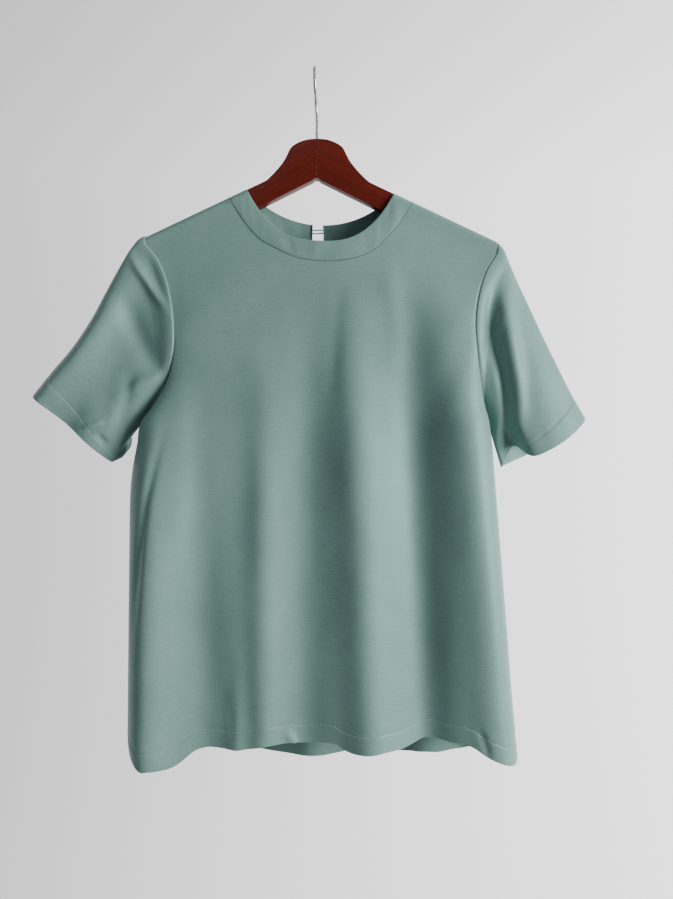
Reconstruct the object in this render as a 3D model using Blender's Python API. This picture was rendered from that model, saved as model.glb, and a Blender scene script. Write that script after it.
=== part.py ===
"""Short-sleeved woven top with a wide round neckband, hanging on a flat wooden hanger.

Lengths in the tables are millimetres. X runs to the viewer's right, Z up, and the garment's front faces -Y.
The origin is the inside of the hook's top, where the hook rests on what carries it.
"""
import math
from collections import namedtuple

import bpy
import numpy as np

MM = 0.001

# Cloth
WALL = 1.1
SEAM_GAP = 0.3
UNDERARM_EASE = 0.5      # a wider gap where four walls meet

# Hanger
ARM_PEAK = -103.1        # height where the two shoulder lines of the cloth would meet
ARM_CENTRE = -1.0
ARM_SLOPE = 0.4735
WRAP_RADIUS = 9.4        # outside of the cloth where it turns over the arm
ARM_UNDER_CLOTH = 2.2    # top of the wood below the outside of the cloth
ARM_THICK = 11.4
ARM_LEFT_END = -212.0
ARM_RIGHT_END = 214.0
UNDERSIDE_APEX = -130.4
UNDERSIDE_SLOPE = 0.50
JOINT_HALF_GAP = 0.15
TIP_LENGTH = 12.0        # each arm's end is rounded off over this
CROWN_ROUNDING = 2.6
ARM_ROUNDING = 5.0

# Hook
WIRE = 3.5
HOOK_RADIUS = 20.0
HOOK_SOCKET_BOTTOM = -95.0
HOOK_STEM_TOP = -54.0    # the wire is straight up to here
HOOK_BEND_FROM = -140.0  # degrees round the hook from its top
HOOK_BEND_TO = 128.0
HOOK_LEAN = -2.5         # the hook stands this far to the left of its socket
SOCKET_RADIUS = 2.15
SOCKET_DEPTH = 20.0

# Body
UNDERARM_LEFT = 416.8
UNDERARM_RIGHT = 410.0
SIDE_ROUNDNESS = 3.4
NECK_CENTRE = 4.9
NECK_HALF_WIDTH = 109.8
NECK_FRONT_DROP = 82.0
NECK_BACK_DROP = 45.0
BAND_TOP_CENTRE = 4.2
BAND_TOP_HALF_WIDTH = 88.4
BAND_FRONT_DROP = 68.5
BAND_BACK_DROP = 30.5
NECK_POWER_FRONT = 2.7
NECK_POWER_BACK = 2.3
LEFT_SEAM_SWING = 0.6    # quarter turns by which the left shoulder seam comes forward at the sleeve
LEFT_SEAM_SWING_LENGTH = 100.0
SLIT_CENTRE = 0.3
SLIT_HALF_WIDTH = 7.5
SLIT_FOOT_HALF_WIDTH = 2.2
SLIT_FOOT = 300.0
SLIT_SETTLES = 90.0      # below its foot the cloth takes this long to lie evenly again

# Closure
BUTTON_RADIUS = 5.0
BUTTON_THICK = 2.2
SHANK_RADIUS = 1.0
SHANK_LENGTH = 2.6
LOOP_CORD = 1.8
LOOP_DOWN = 4.5          # centre of the loop below the band's top edge
LOOP_ROOT = 7.0          # how far the loop's ends run along the right half of the band
BUTTON_FROM_EDGE = 6.5

# Mesh density
WRAP_ROWS = 5
LEAST_TURN_STEP = 0.22   # so that rows under a low neckline don't crowd
ARMHOLE_ROWS = 8
SKIRT_ROWS = 17
SHOULDER_COLUMNS = 7
SHOULDER_SPREAD = 1.45
NECK_COLUMNS = 20
NECK_TURN_STEP = 0.9966
SLEEVE_RINGS = 13
SLEEVE_RING_SPREAD = 1.15

FRONT = -1
BACK = 1

Edge = namedtuple("Edge", "down x front back")
LEFT_EDGE = [
    Edge(199.1, -203.8, 9.4, 9.4),
    Edge(208.0, -203.4, 9.4, 9.4),
    Edge(225.0, -190.0, 10.5, 11.0),
    Edge(247.0, -179.0, 12.0, 14.0),
    Edge(274.0, -171.5, 13.0, 17.0),
    Edge(300.0, -168.0, 13.5, 19.0),
    Edge(323.0, -167.0, 13.5, 20.0),
    Edge(349.0, -170.0, 12.0, 18.0),
    Edge(372.0, -177.0, 9.5, 14.0),
    Edge(392.0, -187.5, 6.0, 9.0),
    Edge(408.0, -198.0, 2.5, 4.0),
    Edge(416.8, -205.3, 0.0, 0.0),
    Edge(450.0, -212.5, 0.0, 0.0),
    Edge(480.0, -217.5, 0.0, 0.0),
    Edge(520.0, -219.5, 0.0, 0.0),
    Edge(770.0, -219.5, 0.0, 0.0),
    Edge(800.0, -217.0, 0.0, 0.0),
    Edge(838.0, -209.0, 0.0, 0.0),
]
RIGHT_EDGE = [
    Edge(206.8, 218.0, 9.4, 9.4),
    Edge(217.0, 217.6, 9.4, 9.4),
    Edge(239.0, 201.0, 13.0, 10.0),
    Edge(265.0, 191.7, 17.0, 12.0),
    Edge(290.0, 187.0, 19.5, 13.0),
    Edge(308.0, 186.0, 20.0, 13.5),
    Edge(335.0, 188.5, 19.0, 13.0),
    Edge(361.0, 191.7, 15.0, 11.0),
    Edge(387.0, 195.4, 9.0, 7.0),
    Edge(402.0, 198.5, 3.5, 3.0),
    Edge(410.0, 201.1, 0.0, 0.0),
    Edge(445.0, 206.5, 0.0, 0.0),
    Edge(485.0, 209.5, 0.0, 0.0),
    Edge(575.0, 216.0, 0.0, 0.0),
    Edge(623.0, 219.6, 0.0, 0.0),
    Edge(671.0, 223.2, 0.0, 0.0),
    Edge(719.0, 226.5, 0.0, 0.0),
    Edge(767.0, 230.5, 0.0, 0.0),
    Edge(825.0, 235.0, 0.0, 0.0),
]

# How far the middle of the front and back stands off the hanger's plane
Fullness = namedtuple("Fullness", "down front back")
FULLNESS = [
    Fullness(140.0, 23.0, 26.0),
    Fullness(200.0, 25.0, 30.0),
    Fullness(240.0, 26.0, 31.0),
    Fullness(320.0, 27.0, 32.0),
    Fullness(420.0, 30.0, 35.0),
    Fullness(600.0, 39.0, 43.0),
    Fullness(840.0, 47.0, 50.0),
]
FULLNESS_RAMP = {FRONT: 120.0, BACK: 90.0}

# The hem's edge below the origin, by the share of the width from the left side seam
Hem = namedtuple("Hem", "across front back")
HEM = [
    Hem(0.00, 834.0, 834.0),
    Hem(0.03, 817.0, 834.0),
    Hem(0.06, 815.5, 833.0),
    Hem(0.09, 815.5, 832.0),
    Hem(0.12, 813.5, 828.0),
    Hem(0.15, 806.0, 826.0),
    Hem(0.17, 799.5, 827.0),
    Hem(0.20, 795.0, 829.0),
    Hem(0.25, 794.5, 836.0),
    Hem(0.28, 795.0, 838.0),
    Hem(0.32, 792.5, 838.0),
    Hem(0.36, 789.5, 838.0),
    Hem(0.42, 789.0, 838.0),
    Hem(0.45, 790.0, 838.0),
    Hem(0.49, 788.5, 838.5),
    Hem(0.53, 788.0, 838.0),
    Hem(0.56, 794.5, 837.5),
    Hem(0.60, 796.5, 837.0),
    Hem(0.66, 795.0, 836.0),
    Hem(0.71, 794.5, 834.0),
    Hem(0.74, 790.5, 831.5),
    Hem(0.77, 786.5, 831.5),
    Hem(0.82, 788.5, 835.0),
    Hem(0.88, 791.5, 835.0),
    Hem(0.91, 800.0, 832.0),
    Hem(0.94, 806.0, 829.0),
    Hem(0.97, 809.5, 826.0),
    Hem(1.00, 822.0, 822.0),
]

# Long soft folds: a lift above zero stands out, and a bend below one swings the fold out early
Fold = namedtuple("Fold", "start_down start_x hem_x bend lift width")
FRONT_FOLDS = [
    Fold(300.0, -188.0, -203.0, 1.0, 25.0, 38.0),
    Fold(400.0, -133.0, -126.0, 1.0, -5.0, 24.0),
    Fold(360.0, -62.0, -55.0, 1.0, 9.0, 19.0),
    Fold(620.0, -86.0, -91.0, 1.0, 5.0, 11.0),
    Fold(290.0, -10.0, -14.0, 1.0, -11.0, 27.0),
    Fold(270.0, 36.0, 60.0, 1.0, 14.0, 27.0),
    Fold(270.0, 112.0, 130.0, 1.0, -13.0, 27.0),
    Fold(270.0, 124.0, 218.0, 0.5, 20.0, 32.0),
]
BACK_FOLDS = [
    Fold(400.0, -150.0, -158.0, 1.0, -12.0, 26.0),
    Fold(330.0, -80.0, -90.0, 1.0, 14.0, 28.0),
    Fold(350.0, -10.0, -8.0, 1.0, -13.0, 28.0),
    Fold(310.0, 62.0, 68.0, 1.0, 15.0, 26.0),
    Fold(340.0, 120.0, 130.0, 1.0, -14.0, 26.0),
    Fold(400.0, 172.0, 190.0, 1.0, 12.0, 24.0),
]
FOLD_RISE = 250.0        # length over which a fold comes to most of its height
FOLD_SHARE = 0.75        # its height there, as a share of that at the hem
FOLD_AT_SIDE = 0.45      # power of the side's roundness by which folds fade at the side seams
CHEST_FLATNESS = 3.0     # power of the gentle curve across the chest
CHEST_ENDS = 330.0
SKIRT_BEGINS = 430.0

# Sleeves: the outer fold runs from the shoulder tip to the cuff, and the under fold from the underarm to it
SleeveLine = namedtuple("SleeveLine", "along outer_x outer_down front back")
SLEEVE_LEFT = [
    SleeveLine(0.00, -203.8, 199.1, 12.0, 16.0),
    SleeveLine(0.06, -212.5, 202.6, 13.0, 17.0),
    SleeveLine(0.14, -222.0, 212.6, 15.0, 19.0),
    SleeveLine(0.24, -233.0, 230.0, 17.0, 21.0),
    SleeveLine(0.38, -250.0, 260.3, 20.0, 23.0),
    SleeveLine(0.56, -271.0, 299.5, 23.0, 25.0),
    SleeveLine(0.72, -293.5, 333.0, 25.0, 26.0),
    SleeveLine(0.86, -315.5, 359.2, 26.0, 27.0),
    SleeveLine(1.00, -339.6, 389.6, 27.0, 27.0),
]
SLEEVE_RIGHT = [
    SleeveLine(0.00, 218.0, 206.8, 12.0, 14.0),
    SleeveLine(0.06, 224.8, 214.6, 12.5, 16.0),
    SleeveLine(0.14, 229.8, 228.9, 14.0, 19.0),
    SleeveLine(0.24, 239.0, 249.9, 16.0, 22.0),
    SleeveLine(0.38, 252.0, 277.5, 18.0, 25.0),
    SleeveLine(0.56, 269.5, 315.5, 20.0, 28.0),
    SleeveLine(0.72, 286.5, 350.5, 22.0, 30.0),
    SleeveLine(0.86, 303.5, 384.5, 23.0, 31.0),
    SleeveLine(1.00, 322.3, 417.5, 24.0, 32.0),
]
CUFF_UNDER_LEFT = (-245.5, 469.0)
CUFF_UNDER_RIGHT = (220.5, 475.0)
CUFF_SAG_LEFT = {FRONT: -4.0, BACK: 4.0}
CUFF_SAG_RIGHT = {FRONT: 9.0, BACK: 9.0}
SLEEVE_ROUNDNESS = 2.3
ARMHOLE_SHAPE_LASTS = 0.75

# Folds down a sleeve: round is the share of the way from the outer fold to the under fold
SleeveFold = namedtuple("SleeveFold", "start_round cuff_round lift width middle reach")
LEFT_SLEEVE_FOLDS = [
    SleeveFold(0.62, 0.50, -9.0, 0.15, 0.42, 0.34),
    SleeveFold(0.70, 0.80, 9.0, 0.13, 0.30, 0.30),
    SleeveFold(0.20, 0.25, 4.0, 0.14, 0.60, 0.35),
]
RIGHT_SLEEVE_FOLDS = [
    SleeveFold(0.55, 0.72, -8.0, 0.13, 0.40, 0.40),
    SleeveFold(0.40, 0.48, 7.0, 0.13, 0.55, 0.38),
    SleeveFold(0.80, 0.86, 5.0, 0.10, 0.60, 0.30),
]

# Crown and flank of the hanger, above the arms' straight line
Crown = namedtuple("Crown", "out height")
CROWN = [
    Crown(0.0, -83.6),
    Crown(10.0, -84.4),
    Crown(21.0, -87.8),
    Crown(31.6, -93.3),
    Crown(34.0, -97.9),
    Crown(39.6, -109.9),
    Crown(47.1, -119.9),
    Crown(56.2, -129.6),
    Crown(68.4, -139.4),
    Crown(84.0, -145.8),
]


def along(rows, column, at):
    """Value of a table's column at a place in its first column, on a smooth curve through the rows."""
    keys = [row[0] for row in rows]
    values = [getattr(row, column) for row in rows]
    if at <= keys[0]:
        return values[0]
    if at >= keys[-1]:
        return values[-1]
    last = len(keys) - 1
    i = max(k for k in range(last) if keys[k] <= at)
    steps = [keys[k + 1] - keys[k] for k in range(last)]
    rises = [(values[k + 1] - values[k]) / steps[k] for k in range(last)]

    def slope(k):
        if k == 0:
            return rises[0]
        if k == last:
            return rises[-1]
        if rises[k - 1] * rises[k] <= 0.0:
            return 0.0
        return (rises[k - 1] * steps[k] + rises[k] * steps[k - 1]) / (steps[k - 1] + steps[k])

    u = (at - keys[i]) / steps[i]
    start = values[i] + u * u * (3.0 - 2.0 * u) * (values[i + 1] - values[i])
    ease_in = (u * (1.0 - u) ** 2) * slope(i)
    ease_out = (u * u * (1.0 - u)) * slope(i + 1)
    return start + (ease_in - ease_out) * steps[i]


def ramp(value, low, high):
    share = min(max((value - low) / (high - low), 0.0), 1.0)
    return share * share * (3.0 - 2.0 * share)


def mix(a, b, share):
    return a + (b - a) * share


def arm_line(x):
    """Height of the cloth's outside along the top of the hanger's arm."""
    return ARM_PEAK - ARM_SLOPE * abs(x - ARM_CENTRE)


def turn_to_drop(turn):
    """Drop below the arm line: a turn of 1 is the quarter turn over the arm, and more goes straight down."""
    if turn < 1.0:
        return WRAP_RADIUS * (1.0 - math.cos(turn * math.pi / 2.0))
    return WRAP_RADIUS * (1.0 + (turn - 1.0) * math.pi / 2.0)


def drop_to_turn(drop):
    if drop < WRAP_RADIUS:
        return math.acos(1.0 - drop / WRAP_RADIUS) / (math.pi / 2.0)
    return 1.0 + (drop / WRAP_RADIUS - 1.0) / (math.pi / 2.0)


def column_share(x_top):
    left = LEFT_EDGE[0].x
    right = RIGHT_EDGE[0].x
    return (x_top - left) / (right - left)


def fold_lift(folds, x, down, hem):
    total = 0.0
    for fold in folds:
        reach = (down - fold.start_down) / (hem - fold.start_down)
        if reach <= 0.0:
            continue
        centre = mix(fold.start_x, fold.hem_x, reach ** fold.bend)
        grown = ramp(down, fold.start_down, fold.start_down + FOLD_RISE) * mix(FOLD_SHARE, 1.0, reach)
        total += fold.lift * grown * math.exp(-((x - centre) / fold.width) ** 2)
    return total


def body_point(side, x_top, turn):
    """Outside of the body: x_top is the column's place at the shoulder line, side is FRONT or BACK."""
    share = column_share(x_top)
    drop = turn_to_drop(turn)
    down = drop - arm_line(x_top)
    left = along(LEFT_EDGE, "x", down)
    right = along(RIGHT_EDGE, "x", down)
    x = mix(left, right, share)
    name = "front" if side == FRONT else "back"
    edge = mix(along(LEFT_EDGE, name, down), along(RIGHT_EDGE, name, down), share)
    across = min(abs(2.0 * share - 1.0), 1.0)
    gentle = 1.0 - across ** CHEST_FLATNESS
    tube = (1.0 - across ** SIDE_ROUNDNESS) ** (1.0 / SIDE_ROUNDNESS)
    rise = mix(gentle, tube, ramp(down, CHEST_ENDS, SKIRT_BEGINS))
    full = mix(WRAP_RADIUS, along(FULLNESS, name, down), ramp(drop, 0.0, FULLNESS_RAMP[side]))
    depth = edge + (full - edge) * rise
    folds = FRONT_FOLDS if side == FRONT else BACK_FOLDS
    depth += fold_lift(folds, x, down, along(HEM, name, share)) * tube ** FOLD_AT_SIDE
    over = math.sin(turn * math.pi / 2.0) if turn < 1.0 else 1.0
    return np.array([x, side * over * depth, -down])


def body_normal(side, x_top, turn):
    """Unit vector out of the cloth, from small steps along and down the surface."""
    step = 0.5
    left = LEFT_EDGE[0].x + step
    right = RIGHT_EDGE[0].x - step
    x_mid = min(max(x_top, left), right)
    across = body_point(side, x_mid + step, turn) - body_point(side, x_mid - step, turn)
    downward = body_point(side, x_mid, turn + 0.02) - body_point(side, x_mid, turn - 0.02)
    normal = np.cross(across, downward) * side
    return normal / np.linalg.norm(normal)


def seam_turn(x_top):
    """The left shoulder seam swings forward towards the sleeve, and the right one lies on top."""
    return LEFT_SEAM_SWING * ramp(NECK_CENTRE - NECK_HALF_WIDTH - x_top, 0.0, LEFT_SEAM_SWING_LENGTH)


def seam_start(side, x_top):
    return -side * seam_turn(x_top)


def neck_drop(side, q):
    """Drop of the band's seam below the arm line at q from -1 to 1 across the neck."""
    x_top = NECK_CENTRE + NECK_HALF_WIDTH * q
    ends = mix(arm_line(NECK_CENTRE - NECK_HALF_WIDTH), arm_line(NECK_CENTRE + NECK_HALF_WIDTH), (q + 1) / 2)
    fall = NECK_FRONT_DROP if side == FRONT else NECK_BACK_DROP
    power = NECK_POWER_FRONT if side == FRONT else NECK_POWER_BACK
    height = ends - fall * (1.0 - abs(q) ** power)
    return max(arm_line(x_top) - height, 0.0)


def band_drop(side, q):
    """Drop of the band's top edge below the arm line."""
    x_top = BAND_TOP_CENTRE + BAND_TOP_HALF_WIDTH * q
    left = arm_line(BAND_TOP_CENTRE - BAND_TOP_HALF_WIDTH)
    right = arm_line(BAND_TOP_CENTRE + BAND_TOP_HALF_WIDTH)
    fall = BAND_FRONT_DROP if side == FRONT else BAND_BACK_DROP
    power = NECK_POWER_FRONT if side == FRONT else NECK_POWER_BACK
    height = mix(left, right, (q + 1) / 2) - fall * (1.0 - abs(q) ** power)
    return max(arm_line(x_top) - height, 0.0)


def neck_steps():
    """Places across the neck from -1 to 1, closer together at the shoulders."""
    steps = [math.sin(math.pi / 2 * (2.0 * k / NECK_COLUMNS - 1.0)) for k in range(NECK_COLUMNS + 1)]
    return steps[:1] + [-NECK_TURN_STEP] + steps[1:-1] + [NECK_TURN_STEP] + steps[-1:]


def shoulder_steps():
    """Shares of the shoulder from the sleeve to the neck, closer together at the sleeve."""
    return [(k / SHOULDER_COLUMNS) ** SHOULDER_SPREAD for k in range(SHOULDER_COLUMNS)]


def panel_columns(side):
    """Each column's x at the shoulder line and its starting turn; the back has a pair at the slit."""
    neck_left = NECK_CENTRE - NECK_HALF_WIDTH
    neck_right = NECK_CENTRE + NECK_HALF_WIDTH
    columns = []
    for share in shoulder_steps():
        x_top = mix(LEFT_EDGE[0].x, neck_left, share)
        columns.append((x_top, seam_start(side, x_top)))
    for q in neck_steps():
        x_top = NECK_CENTRE + NECK_HALF_WIDTH * q
        start = drop_to_turn(neck_drop(side, q))
        if abs(q) > 0.999:
            start = seam_start(side, x_top)
        if side == BACK and abs(q) < 1e-6:
            columns.append((SLIT_CENTRE - SLIT_HALF_WIDTH, start))
            columns.append((SLIT_CENTRE + SLIT_HALF_WIDTH, start))
        else:
            columns.append((x_top, start))
    for share in reversed(shoulder_steps()):
        x_top = mix(RIGHT_EDGE[0].x, neck_right, share)
        columns.append((x_top, seam_start(side, x_top)))
    return columns


UNDERARM_ROW = WRAP_ROWS + ARMHOLE_ROWS
LAST_ROW = UNDERARM_ROW + SKIRT_ROWS


def column_places(side, x_top, start, across):
    """Places down one column: over the arm, down to the underarm's level and down to the hem.

    Across runs from -1 to 1. Below the arm the columns spread to even places, a little closer at the sides.
    """
    name = "front" if side == FRONT else "back"
    left = LEFT_EDGE[0].x
    right = RIGHT_EDGE[0].x
    spread = mix(across, math.sin(math.pi / 2.0 * across), 0.5)
    even_x = mix(left, right, (spread + 1.0) / 2.0)
    step = max((1.0 - start) / WRAP_ROWS, LEAST_TURN_STEP)
    places = [(x_top, start + step * k) for k in range(WRAP_ROWS)]
    first = turn_to_drop(start + step * WRAP_ROWS) - arm_line(x_top)
    for r in range(WRAP_ROWS, LAST_ROW + 1):
        x = mix(x_top, even_x, ramp(r, WRAP_ROWS - 1, UNDERARM_ROW))
        share = column_share(x)
        underarm = mix(UNDERARM_LEFT, UNDERARM_RIGHT, share)
        if r <= UNDERARM_ROW:
            down = mix(first, underarm, (r - WRAP_ROWS) / ARMHOLE_ROWS)
        else:
            down = mix(underarm, along(HEM, name, share), (r - UNDERARM_ROW) / SKIRT_ROWS)
        places.append((x, drop_to_turn(down + arm_line(x))))
    return places


def near_underarm(row):
    return ramp(row, UNDERARM_ROW - 2, UNDERARM_ROW)


def armhole_normal(side, row, turn, outward_x):
    """Outward direction of the body along the armhole, which turns sideways at the underarm."""
    if turn < 1.0:
        angle = turn * math.pi / 2.0
        return np.array([0.0, side * math.sin(angle), math.cos(angle)])
    sideways = near_underarm(row) * math.pi / 2.0
    return np.array([outward_x * math.sin(sideways), side * math.cos(sideways), 0.0])


def slit_half_width(down, top_down):
    if down < SLIT_FOOT:
        return mix(SLIT_HALF_WIDTH, SLIT_FOOT_HALF_WIDTH, ramp(down, top_down, SLIT_FOOT))
    return mix(SLIT_FOOT_HALF_WIDTH, SLIT_HALF_WIDTH, ramp(down, SLIT_FOOT, SLIT_FOOT + SLIT_SETTLES))


def panel_grid(side):
    """Outer points and outward directions of a whole front or back."""
    columns = panel_columns(side)
    points = np.zeros((LAST_ROW + 1, len(columns), 3))
    normals = np.zeros_like(points)
    slit_left = len(columns) // 2 - 1
    for c, (x_top, start) in enumerate(columns):
        across = 2.0 * c / (len(columns) - 1) - 1.0
        for r, (x, turn) in enumerate(column_places(side, x_top, start, across)):
            point = body_point(side, x, turn)
            normal = body_normal(side, x, turn)
            if c in (0, len(columns) - 1):
                outward_x = -1.0 if c == 0 else 1.0
                normal = armhole_normal(side, min(r, UNDERARM_ROW), turn, outward_x)
            points[r, c] = point
            normals[r, c] = normal
    if side == BACK:
        middle = (points[:, slit_left] + points[:, slit_left + 1]) / 2.0
        for r in range(LAST_ROW + 1):
            half = slit_half_width(-middle[r, 2], -middle[0, 2])
            centre = mix(SLIT_CENTRE, middle[r, 0], ramp(-middle[r, 2], SLIT_FOOT, SLIT_FOOT + SLIT_SETTLES))
            for c, sign in ((slit_left, -1.0), (slit_left + 1, 1.0)):
                points[r, c, 0] = centre + sign * half
    return points, normals


def underarm_ease(row):
    return UNDERARM_EASE * ramp(row, UNDERARM_ROW - 3, UNDERARM_ROW)


def open_seams(side, points):
    """Moves the edges that meet another piece back by half the seam gap."""
    half = SEAM_GAP / 2.0
    for c, inner in ((0, 1), (-1, -2)):
        for r in range(UNDERARM_ROW + 1):
            edge = points[r, inner] - points[r, c]
            points[r, c] += edge / np.linalg.norm(edge) * (half + underarm_ease(r))
        points[UNDERARM_ROW:, c, 1] += side * half
    for c in range(points.shape[1]):
        edge = points[1, c] - points[0, c]
        points[0, c] += edge / np.linalg.norm(edge) * half


def material(name, colour, roughness, metallic=0.0):
    made = bpy.data.materials.get(name) or bpy.data.materials.new(name)
    made.use_nodes = True
    shader = made.node_tree.nodes["Principled BSDF"]
    shader.inputs["Base Color"].default_value = (*colour, 1.0)
    shader.inputs["Roughness"].default_value = roughness
    shader.inputs["Metallic"].default_value = metallic
    return made


def add_object(name, vertices, faces, finish):
    """One named object from points in millimetres."""
    mesh = bpy.data.meshes.new(name)
    mesh.from_pydata([tuple(float(v) * MM for v in point) for point in vertices], [], faces)
    mesh.materials.append(finish)
    mesh.shade_smooth()
    made = bpy.data.objects.new(name, mesh)
    bpy.context.scene.collection.objects.link(made)
    return made


def shell(name, points, normals, finish, wall=WALL, around=False, skipped=()):
    """A closed wall from a grid of outer points, whose inside lies a wall's thickness behind them."""
    rows, columns = points.shape[:2]
    outer = points.reshape(-1, 3)
    inner = outer - normals.reshape(-1, 3) * wall
    inside = rows * columns
    cells = []
    for r in range(rows - 1):
        for c in range(columns if around else columns - 1):
            if (r, c) not in skipped:
                right = (c + 1) % columns
                upper = r * columns
                lower = upper + columns
                cells.append((upper + c, upper + right, lower + right, lower + c))
    a, b, _, d = (outer[i] for i in cells[len(cells) // 2])
    facing = np.dot(np.cross(b - a, d - a), normals.reshape(-1, 3)[cells[len(cells) // 2][0]])
    if facing < 0.0:
        cells = [tuple(reversed(cell)) for cell in cells]
    edges = set()
    for cell in cells:
        edges.update(zip(cell, cell[1:] + cell[:1]))
    faces = [corner for a, b, c, d in cells for corner in ((a, b, c), (a, c, d))]
    faces += [tuple(i + inside for i in reversed(face)) for face in faces]
    rim = [edge for edge in sorted(edges) if edge[::-1] not in edges]
    faces += [(end, start, start + inside, end + inside) for start, end in rim]
    return add_object(name, np.concatenate([outer, inner]), faces, finish)


def make_panels(finish):
    """Front and back of the body; returns their armhole edges for the sleeves."""
    edges = {}
    for side, name in ((FRONT, "front_panel"), (BACK, "back_panel")):
        points, normals = panel_grid(side)
        for c, sleeve in ((0, "left"), (-1, "right")):
            rows = slice(0, UNDERARM_ROW + 1)
            edges[side, sleeve] = (points[rows, c].copy(), normals[rows, c].copy())
        open_seams(side, points)
        skipped = set()
        if side == BACK:
            middle = points.shape[1] // 2 - 1
            skipped = {(r, middle) for r in range(LAST_ROW) if -points[r + 1, middle, 2] < SLIT_FOOT}
        shell(name, points, normals, finish, skipped=skipped)
    return edges


def sleeve_fold_lift(folds, round_share, along_share):
    total = 0.0
    for fold in folds:
        centre = mix(fold.start_round, fold.cuff_round, along_share)
        length = math.exp(-((along_share - fold.middle) / fold.reach) ** 2)
        total += fold.lift * length * math.exp(-((round_share - centre) / fold.width) ** 2)
    return total


def sleeve_point(rows, folds, cuff_under, cuff_sag, armhole, round_share, along_share, side):
    """Outside of a sleeve; armhole is the matching point of the body's edge."""
    sag = cuff_sag * math.sin(math.pi * round_share ** 0.8) * ramp(along_share, 0.55, 1.0)
    outer = (along(rows, "outer_x", along_share), -along(rows, "outer_down", along_share))
    under_start = armhole["underarm"]
    under = (mix(under_start[0], cuff_under[0], along_share), mix(under_start[2], -cuff_under[1], along_share))
    tip = armhole["tip"]
    edge = armhole["point"]
    straight_x = mix(tip[0], under_start[0], round_share)
    straight_z = mix(tip[2], under_start[2], round_share)
    keep = max(1.0 - along_share / ARMHOLE_SHAPE_LASTS, 0.0) ** 2
    x = mix(outer[0], under[0], round_share) + keep * (edge[0] - straight_x)
    z = mix(outer[1], under[1], round_share) + keep * (edge[2] - straight_z) - sag
    name = "front" if side == FRONT else "back"
    across = min(abs(1.0 - 2.0 * round_share), 1.0)
    arch = (1.0 - across ** SLEEVE_ROUNDNESS) ** (1.0 / SLEEVE_ROUNDNESS)
    full = along(rows, name, along_share) * arch
    grown = 1.0 - (1.0 - ramp(along_share, 0.0, 0.5)) ** 2
    towards = 1.0 if side * edge[1] >= 0.0 else -1.0
    depth = mix(side * edge[1], towards * full, grown)
    lift = sleeve_fold_lift(folds, round_share, along_share)
    depth += lift * arch * ramp(along_share, 0.0, 0.15) * (1.0 if side == FRONT else 0.6)
    return np.array([x, side * depth, z])


def grid_normals(points):
    """Outward unit vectors of a tube's grid of points, rings by rows."""
    ring_step = np.roll(points, -1, axis=1) - np.roll(points, 1, axis=1)
    along_step = np.gradient(points, axis=0)
    normals = np.cross(ring_step, along_step)
    normals /= np.linalg.norm(normals, axis=2, keepdims=True)
    centre = points.mean(axis=1, keepdims=True)
    if np.sum(normals * (points - centre)) < 0.0:
        normals = -normals
    return normals


def make_sleeve(name, hand, edges, finish):
    """A sleeve as one tube, from its armhole ring to the cuff."""
    rows = SLEEVE_LEFT if hand == "left" else SLEEVE_RIGHT
    folds = LEFT_SLEEVE_FOLDS if hand == "left" else RIGHT_SLEEVE_FOLDS
    cuff_under = CUFF_UNDER_LEFT if hand == "left" else CUFF_UNDER_RIGHT
    cuff_sag = CUFF_SAG_LEFT if hand == "left" else CUFF_SAG_RIGHT
    front_edge, front_normals = edges[FRONT, hand]
    back_edge, back_normals = edges[BACK, hand]
    ring = [(FRONT, k) for k in range(UNDERARM_ROW + 1)] + [(BACK, k) for k in range(UNDERARM_ROW - 1, 0, -1)]
    tip = np.array([rows[0].outer_x, 0.0, arm_line(rows[0].outer_x)])
    underarm = front_edge[UNDERARM_ROW]
    height = tip[2] - underarm[2]
    points = np.zeros((SLEEVE_RINGS + 1, len(ring), 3))
    for k in range(SLEEVE_RINGS + 1):
        along_share = (k / SLEEVE_RINGS) ** SLEEVE_RING_SPREAD
        for j, (side, row) in enumerate(ring):
            edge = front_edge[row] if side == FRONT else back_edge[row]
            armhole = {"point": edge, "tip": tip, "underarm": underarm}
            round_share = min(max((tip[2] - edge[2]) / height, 0.0), 1.0)
            sag = cuff_sag[side]
            points[k, j] = sleeve_point(rows, folds, cuff_under, sag, armhole, round_share, along_share, side)
            if k == 0:
                points[k, j] = edge
    normals = grid_normals(points)
    for j, (side, row) in enumerate(ring):
        shared = front_normals[row] if side == FRONT else back_normals[row]
        turned_normal = mix(shared, normals[0, j], near_underarm(row))
        normals[0, j] = turned_normal / np.linalg.norm(turned_normal)
        if row == UNDERARM_ROW:
            normals[0, j] = (0.0, 0.0, -1.0)
    for j, (_, row) in enumerate(ring):
        edge = points[1, j] - points[0, j]
        points[0, j] += edge / np.linalg.norm(edge) * (SEAM_GAP / 2.0 + underarm_ease(row))
    return shell(name, points, normals, finish, around=True)


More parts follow.
